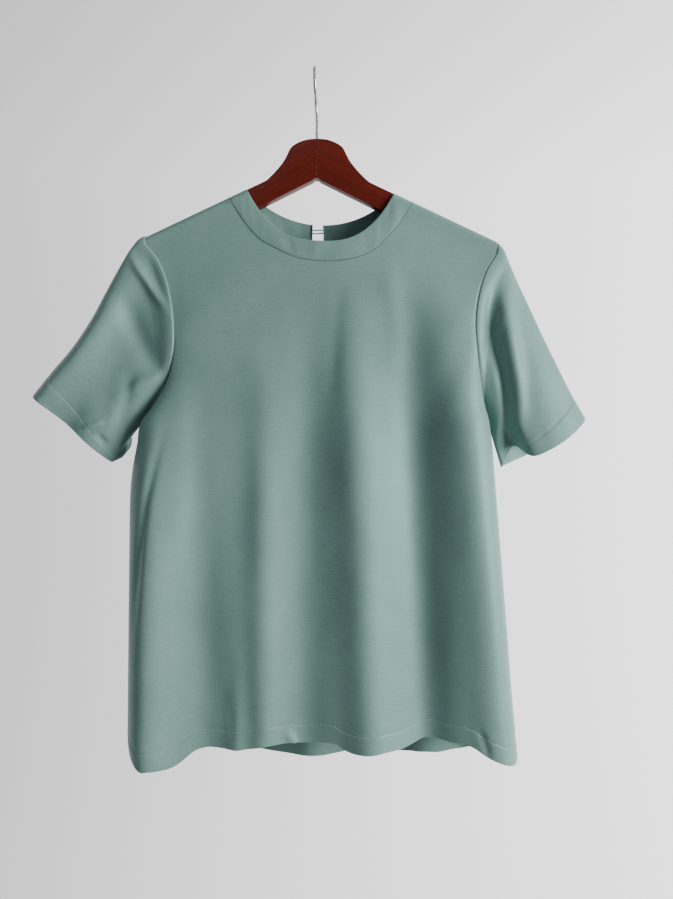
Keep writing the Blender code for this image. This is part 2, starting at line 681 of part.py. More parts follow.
def band_grid(side, steps, slit_side=0):
    """A stretch of neckband: rows rise from its seam to its top edge."""
    rows = 3
    points = np.zeros((rows + 1, len(steps), 3))
    normals = np.zeros_like(points)
    for c, q in enumerate(steps):
        seam_x = NECK_CENTRE + NECK_HALF_WIDTH * q
        top_x = BAND_TOP_CENTRE + BAND_TOP_HALF_WIDTH * q
        seam = drop_to_turn(neck_drop(side, q))
        top = drop_to_turn(band_drop(side, q))
        if abs(q) > 0.999:
            seam = top = seam_start(side, seam_x)
        if slit_side and abs(q) < 1e-6:
            seam_x = SLIT_CENTRE + slit_side * SLIT_HALF_WIDTH
            top_x = SLIT_CENTRE + slit_side * (SLIT_HALF_WIDTH - 0.4)
        for r in range(rows + 1):
            share = r / rows
            x_top = mix(seam_x, top_x, share)
            turn = mix(seam, top, share)
            points[r, c] = body_point(side, x_top, turn)
            normals[r, c] = body_normal(side, x_top, turn)
    half = SEAM_GAP / 2.0
    for c in range(len(steps)):
        edge = points[1, c] - points[0, c]
        points[0, c] += edge / np.linalg.norm(edge) * half
    for c, inner in ((0, 1), (-1, -2)):
        if abs(steps[c]) > 0.999:
            for r in range(rows + 1):
                edge = points[r, inner] - points[r, c]
                points[r, c] += edge / np.linalg.norm(edge) * half
    return points, normals


def make_neckbands(finish):
    steps = neck_steps()
    middle = len(steps) // 2
    points, normals = band_grid(FRONT, steps)
    shell("neckband_front", points, normals, finish)
    points, normals = band_grid(BACK, steps[:middle + 1], slit_side=-1)
    shell("neckband_back_left", points, normals, finish)
    points, normals = band_grid(BACK, steps[middle:], slit_side=1)
    shell("neckband_back_right", points, normals, finish)


def closure_frame(x):
    """Point, outward direction, sideways and upward directions on the back band at the loop's height."""
    turn = drop_to_turn(band_drop(BACK, 0.0) + LOOP_DOWN)
    point = body_point(BACK, x, turn)
    outward = body_normal(BACK, x, turn)
    sideways = np.array([1.0, 0.0, 0.0]) - outward * outward[0]
    sideways /= np.linalg.norm(sideways)
    upward = np.cross(sideways, outward)
    return point, outward, sideways, upward


def turned(name, frame, profile, finish, sides=12):
    """A round piece about the frame's outward axis, from rows of (radius, height)."""
    point, outward, sideways, upward = frame
    vertices = []
    for radius, height in profile:
        for k in range(sides):
            angle = 2.0 * math.pi * k / sides
            spoke = sideways * math.cos(angle) + upward * math.sin(angle)
            vertices.append(point + outward * height + spoke * radius)
    faces = [tuple(range(sides))]
    for r in range(len(profile) - 1):
        for k in range(sides):
            right = (k + 1) % sides
            faces.append((r * sides + right, r * sides + k, (r + 1) * sides + k, (r + 1) * sides + right))
    faces.append(tuple(reversed(range((len(profile) - 1) * sides, len(profile) * sides))))
    return add_object(name, vertices, faces, finish)


def swept(name, path, radius, sides, finish):
    """A round rod along a smooth path, with flat ends."""
    path = np.array(path)
    tangents = np.gradient(path, axis=0)
    tangents /= np.linalg.norm(tangents, axis=1, keepdims=True)
    helper = np.array([1.0, 0.0, 0.0]) if abs(tangents[0][0]) < 0.8 else np.array([0.0, 1.0, 0.0])
    vertices = []
    for point, tangent in zip(path, tangents):
        first = helper - tangent * np.dot(helper, tangent)
        first /= np.linalg.norm(first)
        second = np.cross(tangent, first)
        helper = first
        for k in range(sides):
            angle = 2.0 * math.pi * k / sides
            vertices.append(point + radius * (first * math.cos(angle) + second * math.sin(angle)))
    faces = [tuple(reversed(range(sides)))]
    for r in range(len(path) - 1):
        for k in range(sides):
            right = (k + 1) % sides
            faces.append((r * sides + k, r * sides + right, (r + 1) * sides + right, (r + 1) * sides + k))
    faces.append(tuple(range((len(path) - 1) * sides, len(path) * sides)))
    return add_object(name, vertices, faces, finish)


def make_closure(button_finish, loop_finish):
    """Button behind the left end of the back band, and the loop that comes round it from the right end."""
    button_x = SLIT_CENTRE - SLIT_HALF_WIDTH - BUTTON_FROM_EDGE
    frame = closure_frame(button_x)
    foot = SEAM_GAP
    profile = [(SHANK_RADIUS, foot), (SHANK_RADIUS, foot + SHANK_LENGTH)]
    profile += [(BUTTON_RADIUS - 0.6, foot + SHANK_LENGTH + 0.1), (BUTTON_RADIUS, foot + SHANK_LENGTH + 0.7)]
    profile += [(BUTTON_RADIUS, foot + SHANK_LENGTH + BUTTON_THICK - 0.6)]
    profile += [(BUTTON_RADIUS - 0.8, foot + SHANK_LENGTH + BUTTON_THICK)]
    turned("back_button", frame, profile, button_finish)
    point, outward, sideways, upward = frame
    bend = SHANK_RADIUS + SEAM_GAP + LOOP_CORD / 2.0
    height = foot + LOOP_CORD / 2.0 + 0.1
    reach = 2.0 * SLIT_HALF_WIDTH + BUTTON_FROM_EDGE + LOOP_ROOT
    legs = 5
    path = []
    for k in range(legs + 1):
        path.append((reach * (1.0 - k / legs), bend))
    for k in range(1, 8):
        angle = math.pi / 2.0 + math.pi * k / 8
        path.append((bend * math.cos(angle), bend * math.sin(angle)))
    for k in range(legs + 1):
        path.append((reach * k / legs, -bend))
    swept("button_loop", [point + outward * height + sideways * a + upward * b for a, b in path],
          LOOP_CORD / 2.0, 8, loop_finish)


def wood_top(x):
    """Top of the hanger at a place along it."""
    straight = arm_line(x) - ARM_UNDER_CLOTH
    if abs(x) >= CROWN[-1].out:
        return straight
    return max(along(CROWN, "height", abs(x)), straight)


def wood_bottom(out):
    return UNDERSIDE_APEX - UNDERSIDE_SLOPE * out


def arm_stations(end_out):
    """Distances from the middle at which the arm's section is drawn, closer together at crown and tip."""
    stations = [JOINT_HALF_GAP] + [row.out for row in CROWN[1:]]
    stations += [CROWN[-1].out + (end_out - TIP_LENGTH - CROWN[-1].out) * k / 4 for k in range(1, 5)]
    stations += [end_out - TIP_LENGTH * (1.0 - math.sin(math.pi / 2 * k / 4)) for k in range(1, 4)]
    return stations + [end_out - 0.3]


def make_arm(name, hand, end_x, finish):
    """One half of the hanger: rounded sections from the middle joint out to the tip."""
    side = -1.0 if hand == "left" else 1.0
    end_out = abs(end_x)
    corner = 4
    vertices = []
    stations = arm_stations(end_out)
    for out in stations:
        top = wood_top(side * out)
        bottom = wood_bottom(out)
        into_tip = max(out - (end_out - TIP_LENGTH), 0.0) / TIP_LENGTH
        shrink = 1.0 - math.sqrt(max(1.0 - into_tip ** 2, 0.0))
        middle = mix(top, bottom, 0.5)
        top = mix(top, middle, 0.92 * shrink)
        bottom = mix(bottom, middle, 0.92 * shrink)
        half = ARM_THICK / 2.0 * (1.0 - 0.6 * shrink)
        edge_radius = mix(CROWN_ROUNDING, ARM_ROUNDING, ramp(out, 60.0, CROWN[-1].out))
        rounding = min(edge_radius, half * 0.85, (top - bottom) * 0.45)
        for quarter, (y_sign, z_sign) in enumerate(((1, 1), (-1, 1), (-1, -1), (1, -1))):
            z_edge = top if z_sign > 0 else bottom
            for k in range(corner + 1):
                angle = math.pi / 2.0 * (quarter + k / corner)
                y = y_sign * (half - rounding) + rounding * math.cos(angle)
                z = z_edge - z_sign * rounding + rounding * math.sin(angle)
                vertices.append((side * out, y, z))
    sides = 4 * (corner + 1)
    faces = []
    for r in range(len(stations) - 1):
        for k in range(sides):
            right = (k + 1) % sides
            faces.append((r * sides + k, r * sides + right, (r + 1) * sides + right, (r + 1) * sides + k))
    faces.append(tuple(reversed(range(sides))))
    faces.append(tuple(range((len(stations) - 1) * sides, len(stations) * sides)))
    if side < 0.0:
        faces = [tuple(reversed(face)) for face in faces]
    return add_object(name, vertices, faces, finish)


def hook_path():
    """Centre line of the wire: up from the wood, forward, over the top and down behind to the tip."""
    centre_z = WIRE / 2.0 - HOOK_RADIUS
    path = [(0.0, 0.0, mix(HOOK_SOCKET_BOTTOM, HOOK_STEM_TOP, k / 4)) for k in range(4)]
    start = math.radians(HOOK_BEND_FROM)
    finish = math.radians(HOOK_BEND_TO)
    meet = np.array([0.0, HOOK_RADIUS * math.sin(start), centre_z + HOOK_RADIUS * math.cos(start)])
    heading = np.array([0.0, math.cos(start), -math.sin(start)])
    stem = np.array([0.0, 0.0, HOOK_STEM_TOP])
    controls = [stem, stem + np.array([0.0, 0.0, 9.0]), meet - heading * 8.0, meet]
    for k in range(7):
        u = k / 7
        weights = ((1 - u) ** 3, 3 * u * (1 - u) ** 2, 3 * u * u * (1 - u), u ** 3)
        path.append(tuple(sum(w * c for w, c in zip(weights, controls))))
    for k in range(23):
        angle = mix(start, finish, k / 22)
        path.append((0.0, HOOK_RADIUS * math.sin(angle), centre_z + HOOK_RADIUS * math.cos(angle)))
    return [(HOOK_LEAN * ramp(z, -62.0, -12.0), y, z) for _, y, z in path]


def make_hanger(wood, steel):
    for hand, end_x in (("left", ARM_LEFT_END), ("right", ARM_RIGHT_END)):
        arm = make_arm("hanger_arm_" + hand, hand, end_x, wood)
        height = HOOK_SOCKET_BOTTOM - 0.4 + SOCKET_DEPTH / 2
        bpy.ops.mesh.primitive_cylinder_add(vertices=12, radius=SOCKET_RADIUS * MM, depth=SOCKET_DEPTH * MM,
                                            location=(0.0, 0.0, height * MM))
        cutter = bpy.context.object
        cutter.name = "socket_cutter_" + hand
        cutter.hide_render = True
        cutter.display_type = "WIRE"
        socket = arm.modifiers.new("Socket", "BOOLEAN")
        socket.operation = "DIFFERENCE"
        socket.object = cutter
    swept("hook", hook_path(), WIRE / 2.0, 8, steel)


def main():
    for old in list(bpy.data.objects):
        bpy.data.objects.remove(old, do_unlink=True)
    cloth = material("sage_crepe", (0.20, 0.29, 0.27), 0.55)
    wood = material("mahogany_varnish", (0.11, 0.012, 0.005), 0.3)
    steel = material("hook_steel", (0.62, 0.62, 0.62), 0.25, 1.0)
    button = material("button_plastic", (0.30, 0.40, 0.37), 0.35)
    edges = make_panels(cloth)
    make_sleeve("sleeve_left", "left", edges, cloth)
    make_sleeve("sleeve_right", "right", edges, cloth)
    make_neckbands(cloth)
    make_closure(button, cloth)
    make_hanger(wood, steel)


main()
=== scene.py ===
"""Woven round-neck top on a flat wooden hanger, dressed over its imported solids.

Lengths in the tables are millimetres. X runs to the viewer's right, Z up, and the garment's front faces -Y.
"Down" is the distance below the inside of the hook's top.
"""
import functools
import math
from collections import namedtuple

import bpy
import numpy as np
from mathutils import Matrix, Vector, noise


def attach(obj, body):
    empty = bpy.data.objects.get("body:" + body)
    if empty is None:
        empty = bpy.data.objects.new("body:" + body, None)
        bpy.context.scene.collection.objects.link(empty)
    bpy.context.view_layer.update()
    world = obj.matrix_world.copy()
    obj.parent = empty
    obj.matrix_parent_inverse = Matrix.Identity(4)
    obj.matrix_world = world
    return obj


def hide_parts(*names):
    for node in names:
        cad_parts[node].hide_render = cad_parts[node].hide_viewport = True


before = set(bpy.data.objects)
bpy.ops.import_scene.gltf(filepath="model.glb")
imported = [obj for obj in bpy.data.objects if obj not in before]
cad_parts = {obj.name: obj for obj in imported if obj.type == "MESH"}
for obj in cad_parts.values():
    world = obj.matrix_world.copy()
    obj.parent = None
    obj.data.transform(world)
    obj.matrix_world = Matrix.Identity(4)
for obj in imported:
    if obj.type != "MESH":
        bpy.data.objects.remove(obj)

bl_info = {
    "name": "Round-neck top on a hanger",
    "version": (1, 0, 0),
    "blender": (4, 5, 0),
    "location": "3D View > Sidebar > Top",
    "description": "Woven short-sleeved top with neckband, hems, stitching and wooden hanger",
    "category": "Add Mesh",
}

MM = 0.001
FRONT = -1
BACK = 1

# The stage, in metres; the lens is in millimetres
FLOOR_HEIGHT = -1.75
CAMERA_PLACE = (0.0234, -0.824, -0.454)
CAMERA_LENS = 27.5

# Where the cloth lies: the same sizes as the solids
ARM_PEAK = -103.1
ARM_CENTRE = -1.0
ARM_SLOPE = 0.4735
WRAP_RADIUS = 9.4
ARM_UNDER_CLOTH = 2.2
ARM_THICK = 11.4
ARM_END = {"left": 212.0, "right": 214.0}
UNDERSIDE_APEX = -130.4
UNDERSIDE_SLOPE = 0.50
JOINT_HALF_GAP = 0.15
ARM_TIP = 12.0           # length over which an arm's end is rounded
ARM_EDGE_ROUNDING = 2.4
SOCKET_RADIUS = 1.95     # bore that takes the hook's foot
SOCKET_DEPTH = 24.0
SOCKET_MIDDLE = -84.0
WIRE = 3.5
HOOK_RADIUS = 20.0
HOOK_FOOT = -95.0
HOOK_STEM_TOP = -54.0    # where the stem leaves the upright
HOOK_START = -140.0      # degrees round the hook from its top
HOOK_FINISH = 128.0
HOOK_LEAN = -2.5         # the wire's top stands this far to the left of its foot
UNDERARM_LEFT = 416.8
UNDERARM_RIGHT = 410.0
SIDE_ROUNDNESS = 3.4
SIDES_ROUND = (330.0, 430.0)   # between these the flat-edged chest turns to a tube
NECK_CENTRE = 4.9
NECK_HALF_WIDTH = 109.8
NECK_DROP = {FRONT: 78.5, BACK: 45.0}
NECK_POWER = {FRONT: 2.7, BACK: 2.3}
BAND_TOP_CENTRE = 4.2
BAND_TOP_HALF_WIDTH = 88.4
BAND_DROP = {FRONT: 65.0, BACK: 31.5}
BAND_BULGE = 0.5
BAND_WAVES = 0.85        # long and short puckers across the band
BAND_PUCKERS = 0.48
SLIT_CENTRE = 0.3
SLIT_HALF_WIDTH = 7.5
SLIT_FOOT_HALF_WIDTH = 1.2
SLIT_FOOT = 300.0
SLIT_REACH = 45.0        # how far the cloth beside the slit gives way to it
SLIT_CLOSES = 14.0       # below the slit the columns come together, and then straighten
SLIT_STRAIGHTENS = 90.0
SLIT_FACING = (1.2, 2.6)  # how far the slit's turned edge reaches under the cloth
BUTTON_FROM_EDGE = 6.5
BUTTON_RADIUS = 5.0
BUTTON_THICK = 2.2
BUTTON_RIM = 1.3
BUTTON_DISH = 0.4
BUTTON_ROUNDING = 0.45
SHANK_RADIUS = 1.1
SHANK_LENGTH = 2.6
BUTTON_LIFT = 4.2        # from the band's cloth to the button's middle
LOOP_DOWN = 4.5
LOOP_ROOT = 7.0
LOOP_BEND = 2.2          # half the gap between the loop's strands
LOOP_LIFT = 1.3
LOOP_RADIUS = 0.8
LEFT_SEAM_SWING = 0.6    # share of the quarter turn that the left shoulder seam swings forward
SEAM_SWING_REACH = 100.0

# How finely the pieces are drawn
WRAP_ROWS = 8
WRAP_REACH = 1.1
ARMHOLE_ROWS = 66
SKIRT_ROWS = 92
SHOULDER_COLUMNS = 22
SHOULDER_SPREAD = 1.45   # draws the shoulder's columns together towards the armhole
NECK_COLUMNS = 100
SLEEVE_RINGS = 62
SLEEVE_RING_SPREAD = 1.15
BAND_ROWS = 12
ARM_STEP = 2.2           # between the sections at the crown

SIDE_NAMES = {FRONT: "front", BACK: "back"}
HANDS = {"left": -1.0, "right": 1.0}
FIRST_COLUMN = {"left": 0, "right": -1}
BODY_SEEDS = {FRONT: 2.0, BACK: 9.0}
SLEEVE_SEEDS = {"left": 4.0, "right": 6.0}

# An edge's depth in front and behind; it has none where the panels meet at the side seam
Edge = namedtuple("Edge", "down x front back", defaults=(0.0, 0.0))
LEFT_EDGE = (
    Edge(199.1, -203.8, 9.4, 9.4),
    Edge(208.0, -203.4, 9.4, 9.4),
    Edge(225.0, -190.0, 10.5, 11.0),
    Edge(247.0, -179.0, 13.5, 14.0),
    Edge(274.0, -171.5, 16.0, 17.0),
    Edge(300.0, -168.0, 17.5, 19.0),
    Edge(323.0, -167.0, 18.0, 20.0),
    Edge(349.0, -170.0, 16.0, 18.0),
    Edge(372.0, -177.0, 11.0, 14.0),
    Edge(392.0, -187.5, 6.0, 9.0),
    Edge(408.0, -198.0, 2.5, 4.0),
    Edge(416.8, -205.3),
    Edge(450.0, -212.5),
    Edge(480.0, -217.5),
    Edge(520.0, -219.5),
    Edge(770.0, -219.5),
    Edge(800.0, -217.0),
    Edge(838.0, -209.0),
)
RIGHT_EDGE = (
    Edge(206.8, 214.5, 9.4, 9.4),
    Edge(217.0, 213.8, 9.4, 9.4),
    Edge(239.0, 201.0, 13.0, 10.0),
    Edge(265.0, 191.7, 17.0, 12.0),
    Edge(290.0, 187.0, 19.5, 13.0),
    Edge(308.0, 186.0, 20.0, 13.5),
    Edge(335.0, 188.5, 19.0, 13.0),
    Edge(361.0, 191.7, 15.0, 11.0),
    Edge(387.0, 195.4, 9.0, 7.0),
    Edge(402.0, 198.5, 3.5, 3.0),
    Edge(410.0, 201.1),
    Edge(445.0, 206.5),
    Edge(485.0, 209.5),
    Edge(575.0, 216.0),
    Edge(623.0, 219.6),
    Edge(671.0, 223.2),
    Edge(719.0, 226.5),
    Edge(767.0, 230.5),
    Edge(825.0, 235.0),
)

Fullness = namedtuple("Fullness", "down front back")
FULLNESS = (
    Fullness(140.0, 23.0, 26.0),
    Fullness(200.0, 24.0, 30.0),
    Fullness(240.0, 24.0, 31.0),
    Fullness(320.0, 24.0, 32.0),
    Fullness(420.0, 29.0, 35.0),
    Fullness(600.0, 39.0, 43.0),
    Fullness(840.0, 47.0, 50.0),
)
FULLNESS_RAMP = {FRONT: 120.0, BACK: 90.0}

Hem = namedtuple("Hem", "across front back")
HEM = (
    Hem(0.00, 792.0, 792.0),
    Hem(0.008, 799.0, 797.0),
    Hem(0.016, 806.0, 806.0),
    Hem(0.03, 814.0, 815.0),
    Hem(0.06, 815.5, 820.5),
    Hem(0.09, 815.5, 823.0),
    Hem(0.12, 813.5, 824.5),
    Hem(0.15, 806.0, 825.5),
    Hem(0.17, 799.5, 827.0),
    Hem(0.20, 795.0, 829.0),
    Hem(0.25, 794.5, 836.0),
    Hem(0.28, 795.0, 838.0),
    Hem(0.32, 792.5, 838.0),
    Hem(0.36, 789.5, 838.0),
    Hem(0.42, 789.0, 838.0),
    Hem(0.45, 790.0, 838.0),
    Hem(0.49, 788.5, 838.5),
    Hem(0.53, 788.0, 838.0),
    Hem(0.56, 794.5, 837.5),
    Hem(0.60, 796.5, 837.0),
    Hem(0.66, 795.0, 836.0),
    Hem(0.71, 794.5, 834.0),
    Hem(0.74, 790.5, 831.5),
    Hem(0.77, 786.5, 831.5),
    Hem(0.82, 788.5, 835.0),
    Hem(0.88, 791.5, 835.0),
    Hem(0.91, 800.0, 832.0),
    Hem(0.94, 806.0, 829.0),
    Hem(0.97, 811.0, 826.0),
    Hem(0.985, 812.5, 818.0),
    Hem(1.00, 808.0, 808.0),
)

Fold = namedtuple("Fold", "start_down start_x hem_x bend lift width")
FOLDS = {
    FRONT: (
        Fold(300.0, -188.0, -203.0, 1.0, 32.0, 36.0),
        Fold(400.0, -133.0, -126.0, 1.0, -5.0, 24.0),
        Fold(290.0, -62.0, -60.0, 1.0, 6.5, 18.0),
        Fold(620.0, -86.0, -91.0, 1.0, 5.0, 11.0),
        Fold(240.0, -10.0, -14.0, 1.0, -8.5, 27.0),
        Fold(200.0, 36.0, 62.0, 1.0, 13.0, 26.0),
        Fold(200.0, 106.0, 128.0, 1.0, -15.0, 26.0),
        Fold(220.0, 134.0, 220.0, 0.5, 27.0, 42.0),
    ),
    BACK: (
        Fold(400.0, -150.0, -158.0, 1.0, -12.0, 26.0),
        Fold(330.0, -80.0, -90.0, 1.0, 14.0, 28.0),
        Fold(350.0, -10.0, -8.0, 1.0, -13.0, 28.0),
        Fold(310.0, 62.0, 68.0, 1.0, 15.0, 26.0),
        Fold(340.0, 120.0, 130.0, 1.0, -14.0, 26.0),
        Fold(400.0, 172.0, 190.0, 1.0, 12.0, 24.0),
    ),
}
FOLD_RISE = 250.0
FOLD_SHARE = 0.75
FOLD_AT_SIDE = 0.45
CHEST_FLATNESS = 6.0
TAUT_CLOTH = (150.0, 330.0)    # the cloth lies stretched at the shoulders and is free from the chest down

SleeveLine = namedtuple("SleeveLine", "along outer_x outer_down front back")
SLEEVE_LINES = {
    "left": (
        SleeveLine(0.00, -203.8, 199.1, 12.0, 16.0),
        SleeveLine(0.06, -212.5, 202.6, 13.0, 17.0),
        SleeveLine(0.14, -222.0, 212.6, 15.0, 19.0),
        SleeveLine(0.24, -233.0, 230.0, 17.0, 21.0),
        SleeveLine(0.38, -250.0, 260.3, 20.0, 23.0),
        SleeveLine(0.56, -271.0, 299.5, 23.0, 25.0),
        SleeveLine(0.72, -293.5, 333.0, 25.0, 26.0),
        SleeveLine(0.86, -315.5, 359.2, 26.0, 27.0),
        SleeveLine(1.00, -339.6, 389.6, 27.0, 27.0),
    ),
    "right": (
        SleeveLine(0.00, 214.5, 206.8, 12.0, 14.0),
        SleeveLine(0.06, 222.8, 214.6, 12.5, 16.0),
        SleeveLine(0.14, 229.8, 228.9, 14.0, 19.0),
        SleeveLine(0.24, 239.0, 249.9, 16.0, 22.0),
        SleeveLine(0.38, 252.0, 277.5, 18.0, 25.0),
        SleeveLine(0.56, 269.5, 315.5, 20.0, 28.0),
        SleeveLine(0.72, 286.5, 350.5, 22.0, 30.0),
        SleeveLine(0.86, 303.5, 384.5, 23.0, 31.0),
        SleeveLine(1.00, 322.3, 417.5, 24.0, 32.0),
    ),
}
CUFF_UNDER = {"left": (-245.5, 469.0), "right": (220.5, 475.0)}
CUFF_SAG = {"left": {FRONT: -4.0, BACK: 4.0}, "right": {FRONT: 9.0, BACK: 9.0}}
SLEEVE_ROUNDNESS = 2.3
SLEEVE_FLATNESS = 0.7    # share of a flat pressed sleeve's form in the tube
OUTER_FOLD_POWER = {"left": 6.0, "right": 2.3}   # how quickly a sleeve fills out from its outer fold
CUFF_BUCKLE = {"left": 0.0, "right": 20.0}   # the front rises and turns in near the underarm
CUFF_SWING = {"left": 26.0, "right": 0.0}    # the back's underside swings out towards the body
BUCKLE_ROUND = (0.85, 0.11)    # middle and half width round the sleeve
SWING_ROUND = (0.88, 0.12)
BUCKLE_INWARD = 0.8            # shares of the buckle's rise and of the swing
SWING_UPWARD = 0.35
ARMHOLE_SHAPE_LASTS = 0.75
SLEEVE_HEAD_RISE = 1.3   # the seam's allowance lies under the sleeve and lifts it
SLEEVE_LENGTH = 215.0

SleeveFold = namedtuple("SleeveFold", "start_round cuff_round lift width middle reach")
SLEEVE_FOLDS = {
    "left": (
        SleeveFold(0.45, 0.40, -10.0, 0.27, 0.50, 0.45),
        SleeveFold(0.80, 0.84, 6.0, 0.13, 0.38, 0.32),
        SleeveFold(0.12, 0.12, 4.5, 0.12, 0.60, 0.50),
        SleeveFold(0.50, 0.50, -6.5, 0.19, 1.00, 0.16),
    ),
    "right": (
        SleeveFold(0.26, 1.20, -6.5, 0.13, 0.33, 0.27),
        SleeveFold(0.06, 0.95, 6.0, 0.15, 0.45, 0.36),
        SleeveFold(0.88, 0.92, 1.5, 0.08, 0.40, 0.30),
    ),
}

Crown = namedtuple("Crown", "out height")
CROWN = (
    Crown(0.0, -83.6),
    Crown(10.0, -84.2),
    Crown(16.5, -85.8),
    Crown(23.2, -88.6),
    Crown(28.2, -91.7),
    Crown(31.8, -95.2),
    Crown(33.9, -99.4),
    Crown(36.5, -105.0),
    Crown(40.3, -111.3),
    Crown(47.1, -119.9),
    Crown(56.2, -129.6),
    Crown(68.4, -139.4),
    Crown(84.0, -145.8),
)

# Small creases laid over the long folds: a path of (x, down), a lift out of the cloth and a half width
Crease = namedtuple("Crease", "path lift width")
BODY_CREASES = {
    FRONT: (
        Crease(((-172.0, 410.0), (-182.0, 462.0), (-193.0, 515.0), (-202.0, 585.0), (-208.0, 690.0)),
               -2.6, 5.5),
        Crease(((-160.0, 350.0), (-156.0, 450.0), (-160.0, 600.0)), 2.2, 15.0),
        Crease(((190.0, 300.0), (150.0, 370.0), (120.0, 470.0)), -1.6, 18.0),
        Crease(((30.0, 236.0), (24.0, 300.0), (16.0, 420.0)), -0.9, 9.0),
        Crease(((80.0, 220.0), (92.0, 290.0), (96.0, 380.0)), 1.3, 12.0),
        Crease(((182.0, 766.0), (190.0, 782.0), (196.0, 806.0)), -1.7, 3.4),
        Crease(((-36.0, 772.0), (-22.0, 796.0)), 2.8, 3.4),
        Crease(((-97.0, 740.0), (-95.0, 770.0), (-95.0, 800.0)), -0.7, 2.4),
    ),
    BACK: (
        Crease(((-150.0, 260.0), (-110.0, 330.0), (-90.0, 430.0)), -2.0, 16.0),
        Crease(((160.0, 262.0), (120.0, 330.0), (100.0, 430.0)), -2.2, 16.0),
        Crease(((-14.0, 300.0), (-18.0, 360.0), (-14.0, 440.0)), 1.6, 8.0),
        Crease(((12.0, 300.0), (18.0, 380.0), (16.0, 460.0)), -1.5, 8.0),
        Crease(((-196.0, 430.0), (-190.0, 520.0), (-198.0, 640.0)), -2.4, 7.0),
        Crease(((204.0, 470.0), (200.0, 560.0), (206.0, 680.0)), -2.2, 7.0),
        Crease(((60.0, 790.0), (66.0, 822.0)), -1.4, 3.0),
    ),
}
SLEEVE_CREASES = {
    ("left", FRONT): (
        Crease(((-226.0, 214.0), (-212.0, 240.0), (-192.0, 268.0), (-160.0, 306.0)), 4.4, 5.0),
        Crease(((-204.0, 214.0), (-186.0, 252.0), (-166.0, 296.0)), -4.0, 6.5),
        Crease(((-236.0, 250.0), (-216.0, 310.0), (-194.0, 350.0), (-166.0, 378.0)), -3.5, 12.0),
        Crease(((-244.0, 396.0), (-212.0, 379.0), (-160.0, 356.0)), 3.4, 8.0),
        Crease(((-218.0, 356.0), (-223.0, 400.0), (-236.0, 446.0)), -4.5, 9.0),
        Crease(((-276.0, 428.0), (-262.0, 426.0), (-246.0, 421.0)), 2.6, 3.2),
        Crease(((-258.0, 434.0), (-246.0, 450.0)), -2.2, 4.0),
        Crease(((-330.0, 386.0), (-300.0, 420.0), (-268.0, 452.0)), -1.6, 7.0),
    ),
    ("right", FRONT): (
        Crease(((228.0, 222.0), (210.0, 280.0), (202.0, 335.0), (200.0, 385.0)), -4.5, 10.0),
        Crease(((228.0, 240.0), (226.0, 320.0), (224.0, 400.0)), 3.4, 12.0),
        Crease(((217.0, 290.0), (216.0, 345.0)), 1.3, 2.5),
    ),
    ("left", BACK): (
        Crease(((-220.0, 250.0), (-195.0, 300.0), (-180.0, 350.0)), -3.0, 10.0),
        Crease(((-240.0, 300.0), (-232.0, 380.0), (-250.0, 440.0)), 2.6, 12.0),
    ),
    ("right", BACK): (
        Crease(((232.0, 255.0), (215.0, 310.0), (208.0, 370.0)), -3.0, 10.0),
        Crease(((252.0, 300.0), (240.0, 380.0), (252.0, 450.0)), 2.6, 12.0),
    ),
}


def register_order():
    """Classes in the order in which Blender is told of them."""
    return (
        TopSizes,
        TopColours,
        TOP_OT_body,
        TOP_OT_sleeves,
        TOP_OT_neckband,
        TOP_OT_closure,
        TOP_OT_stitching,
        TOP_OT_hanger,
        TOP_OT_stage,
        TOP_PT_panel,
    )


def ramp(value, low, high):
    share = np.clip((np.asarray(value, dtype=float) - low) / (high - low), 0.0, 1.0)
    return share * share * (3.0 - 2.0 * share)


def mix(a, b, share):
    return a + (b - a) * share


@functools.lru_cache(maxsize=None)
def knots(rows, column):
    """Keys, values and slopes of the smooth curve through a table's column."""
    keys = np.array([row[0] for row in rows])
    values = np.array([getattr(row, column) for row in rows])
    steps = np.diff(keys)
    rises = np.diff(values) / steps
    inner = (rises[:-1] * steps[1:] + rises[1:] * steps[:-1]) / (steps[:-1] + steps[1:])
    inner = np.where(rises[:-1] * rises[1:] <= 0.0, 0.0, inner)
    return keys, values, np.concatenate([rises[:1], inner, rises[-1:]])


def along(rows, column, at):
    """Values of a table's column at places in its first column, on a smooth curve through the rows."""
    keys, values, slopes = knots(rows, column)
    at = np.clip(np.asarray(at, dtype=float), keys[0], keys[-1])
    i = np.clip(np.searchsorted(keys, at, side="right") - 1, 0, len(keys) - 2)
    step = keys[i + 1] - keys[i]
    u = (at - keys[i]) / step
    start = values[i] + u * u * (3.0 - 2.0 * u) * (values[i + 1] - values[i])
    return start + (u * (1.0 - u) ** 2 * slopes[i] - u * u * (1.0 - u) * slopes[i + 1]) * step


def arm_line(x):
    """Height of the cloth's outside along the top of the hanger's arm."""
    return ARM_PEAK - ARM_SLOPE * np.abs(x - ARM_CENTRE)


def turn_to_drop(turn):
    turn = np.asarray(turn, dtype=float)
    over = 1.0 - np.cos(np.minimum(turn, 1.0) * math.pi / 2.0)
    return WRAP_RADIUS * np.where(turn < 1.0, over, 1.0 + (turn - 1.0) * math.pi / 2.0)


def drop_to_turn(drop):
    drop = np.asarray(drop, dtype=float)
    over = np.arccos(np.clip(1.0 - drop / WRAP_RADIUS, -1.0, 1.0)) / (math.pi / 2.0)
    return np.where(drop < WRAP_RADIUS, over, 1.0 + (drop / WRAP_RADIUS - 1.0) / (math.pi / 2.0))


def column_share(x_top):
    return (x_top - LEFT_EDGE[0].x) / (RIGHT_EDGE[0].x - LEFT_EDGE[0].x)


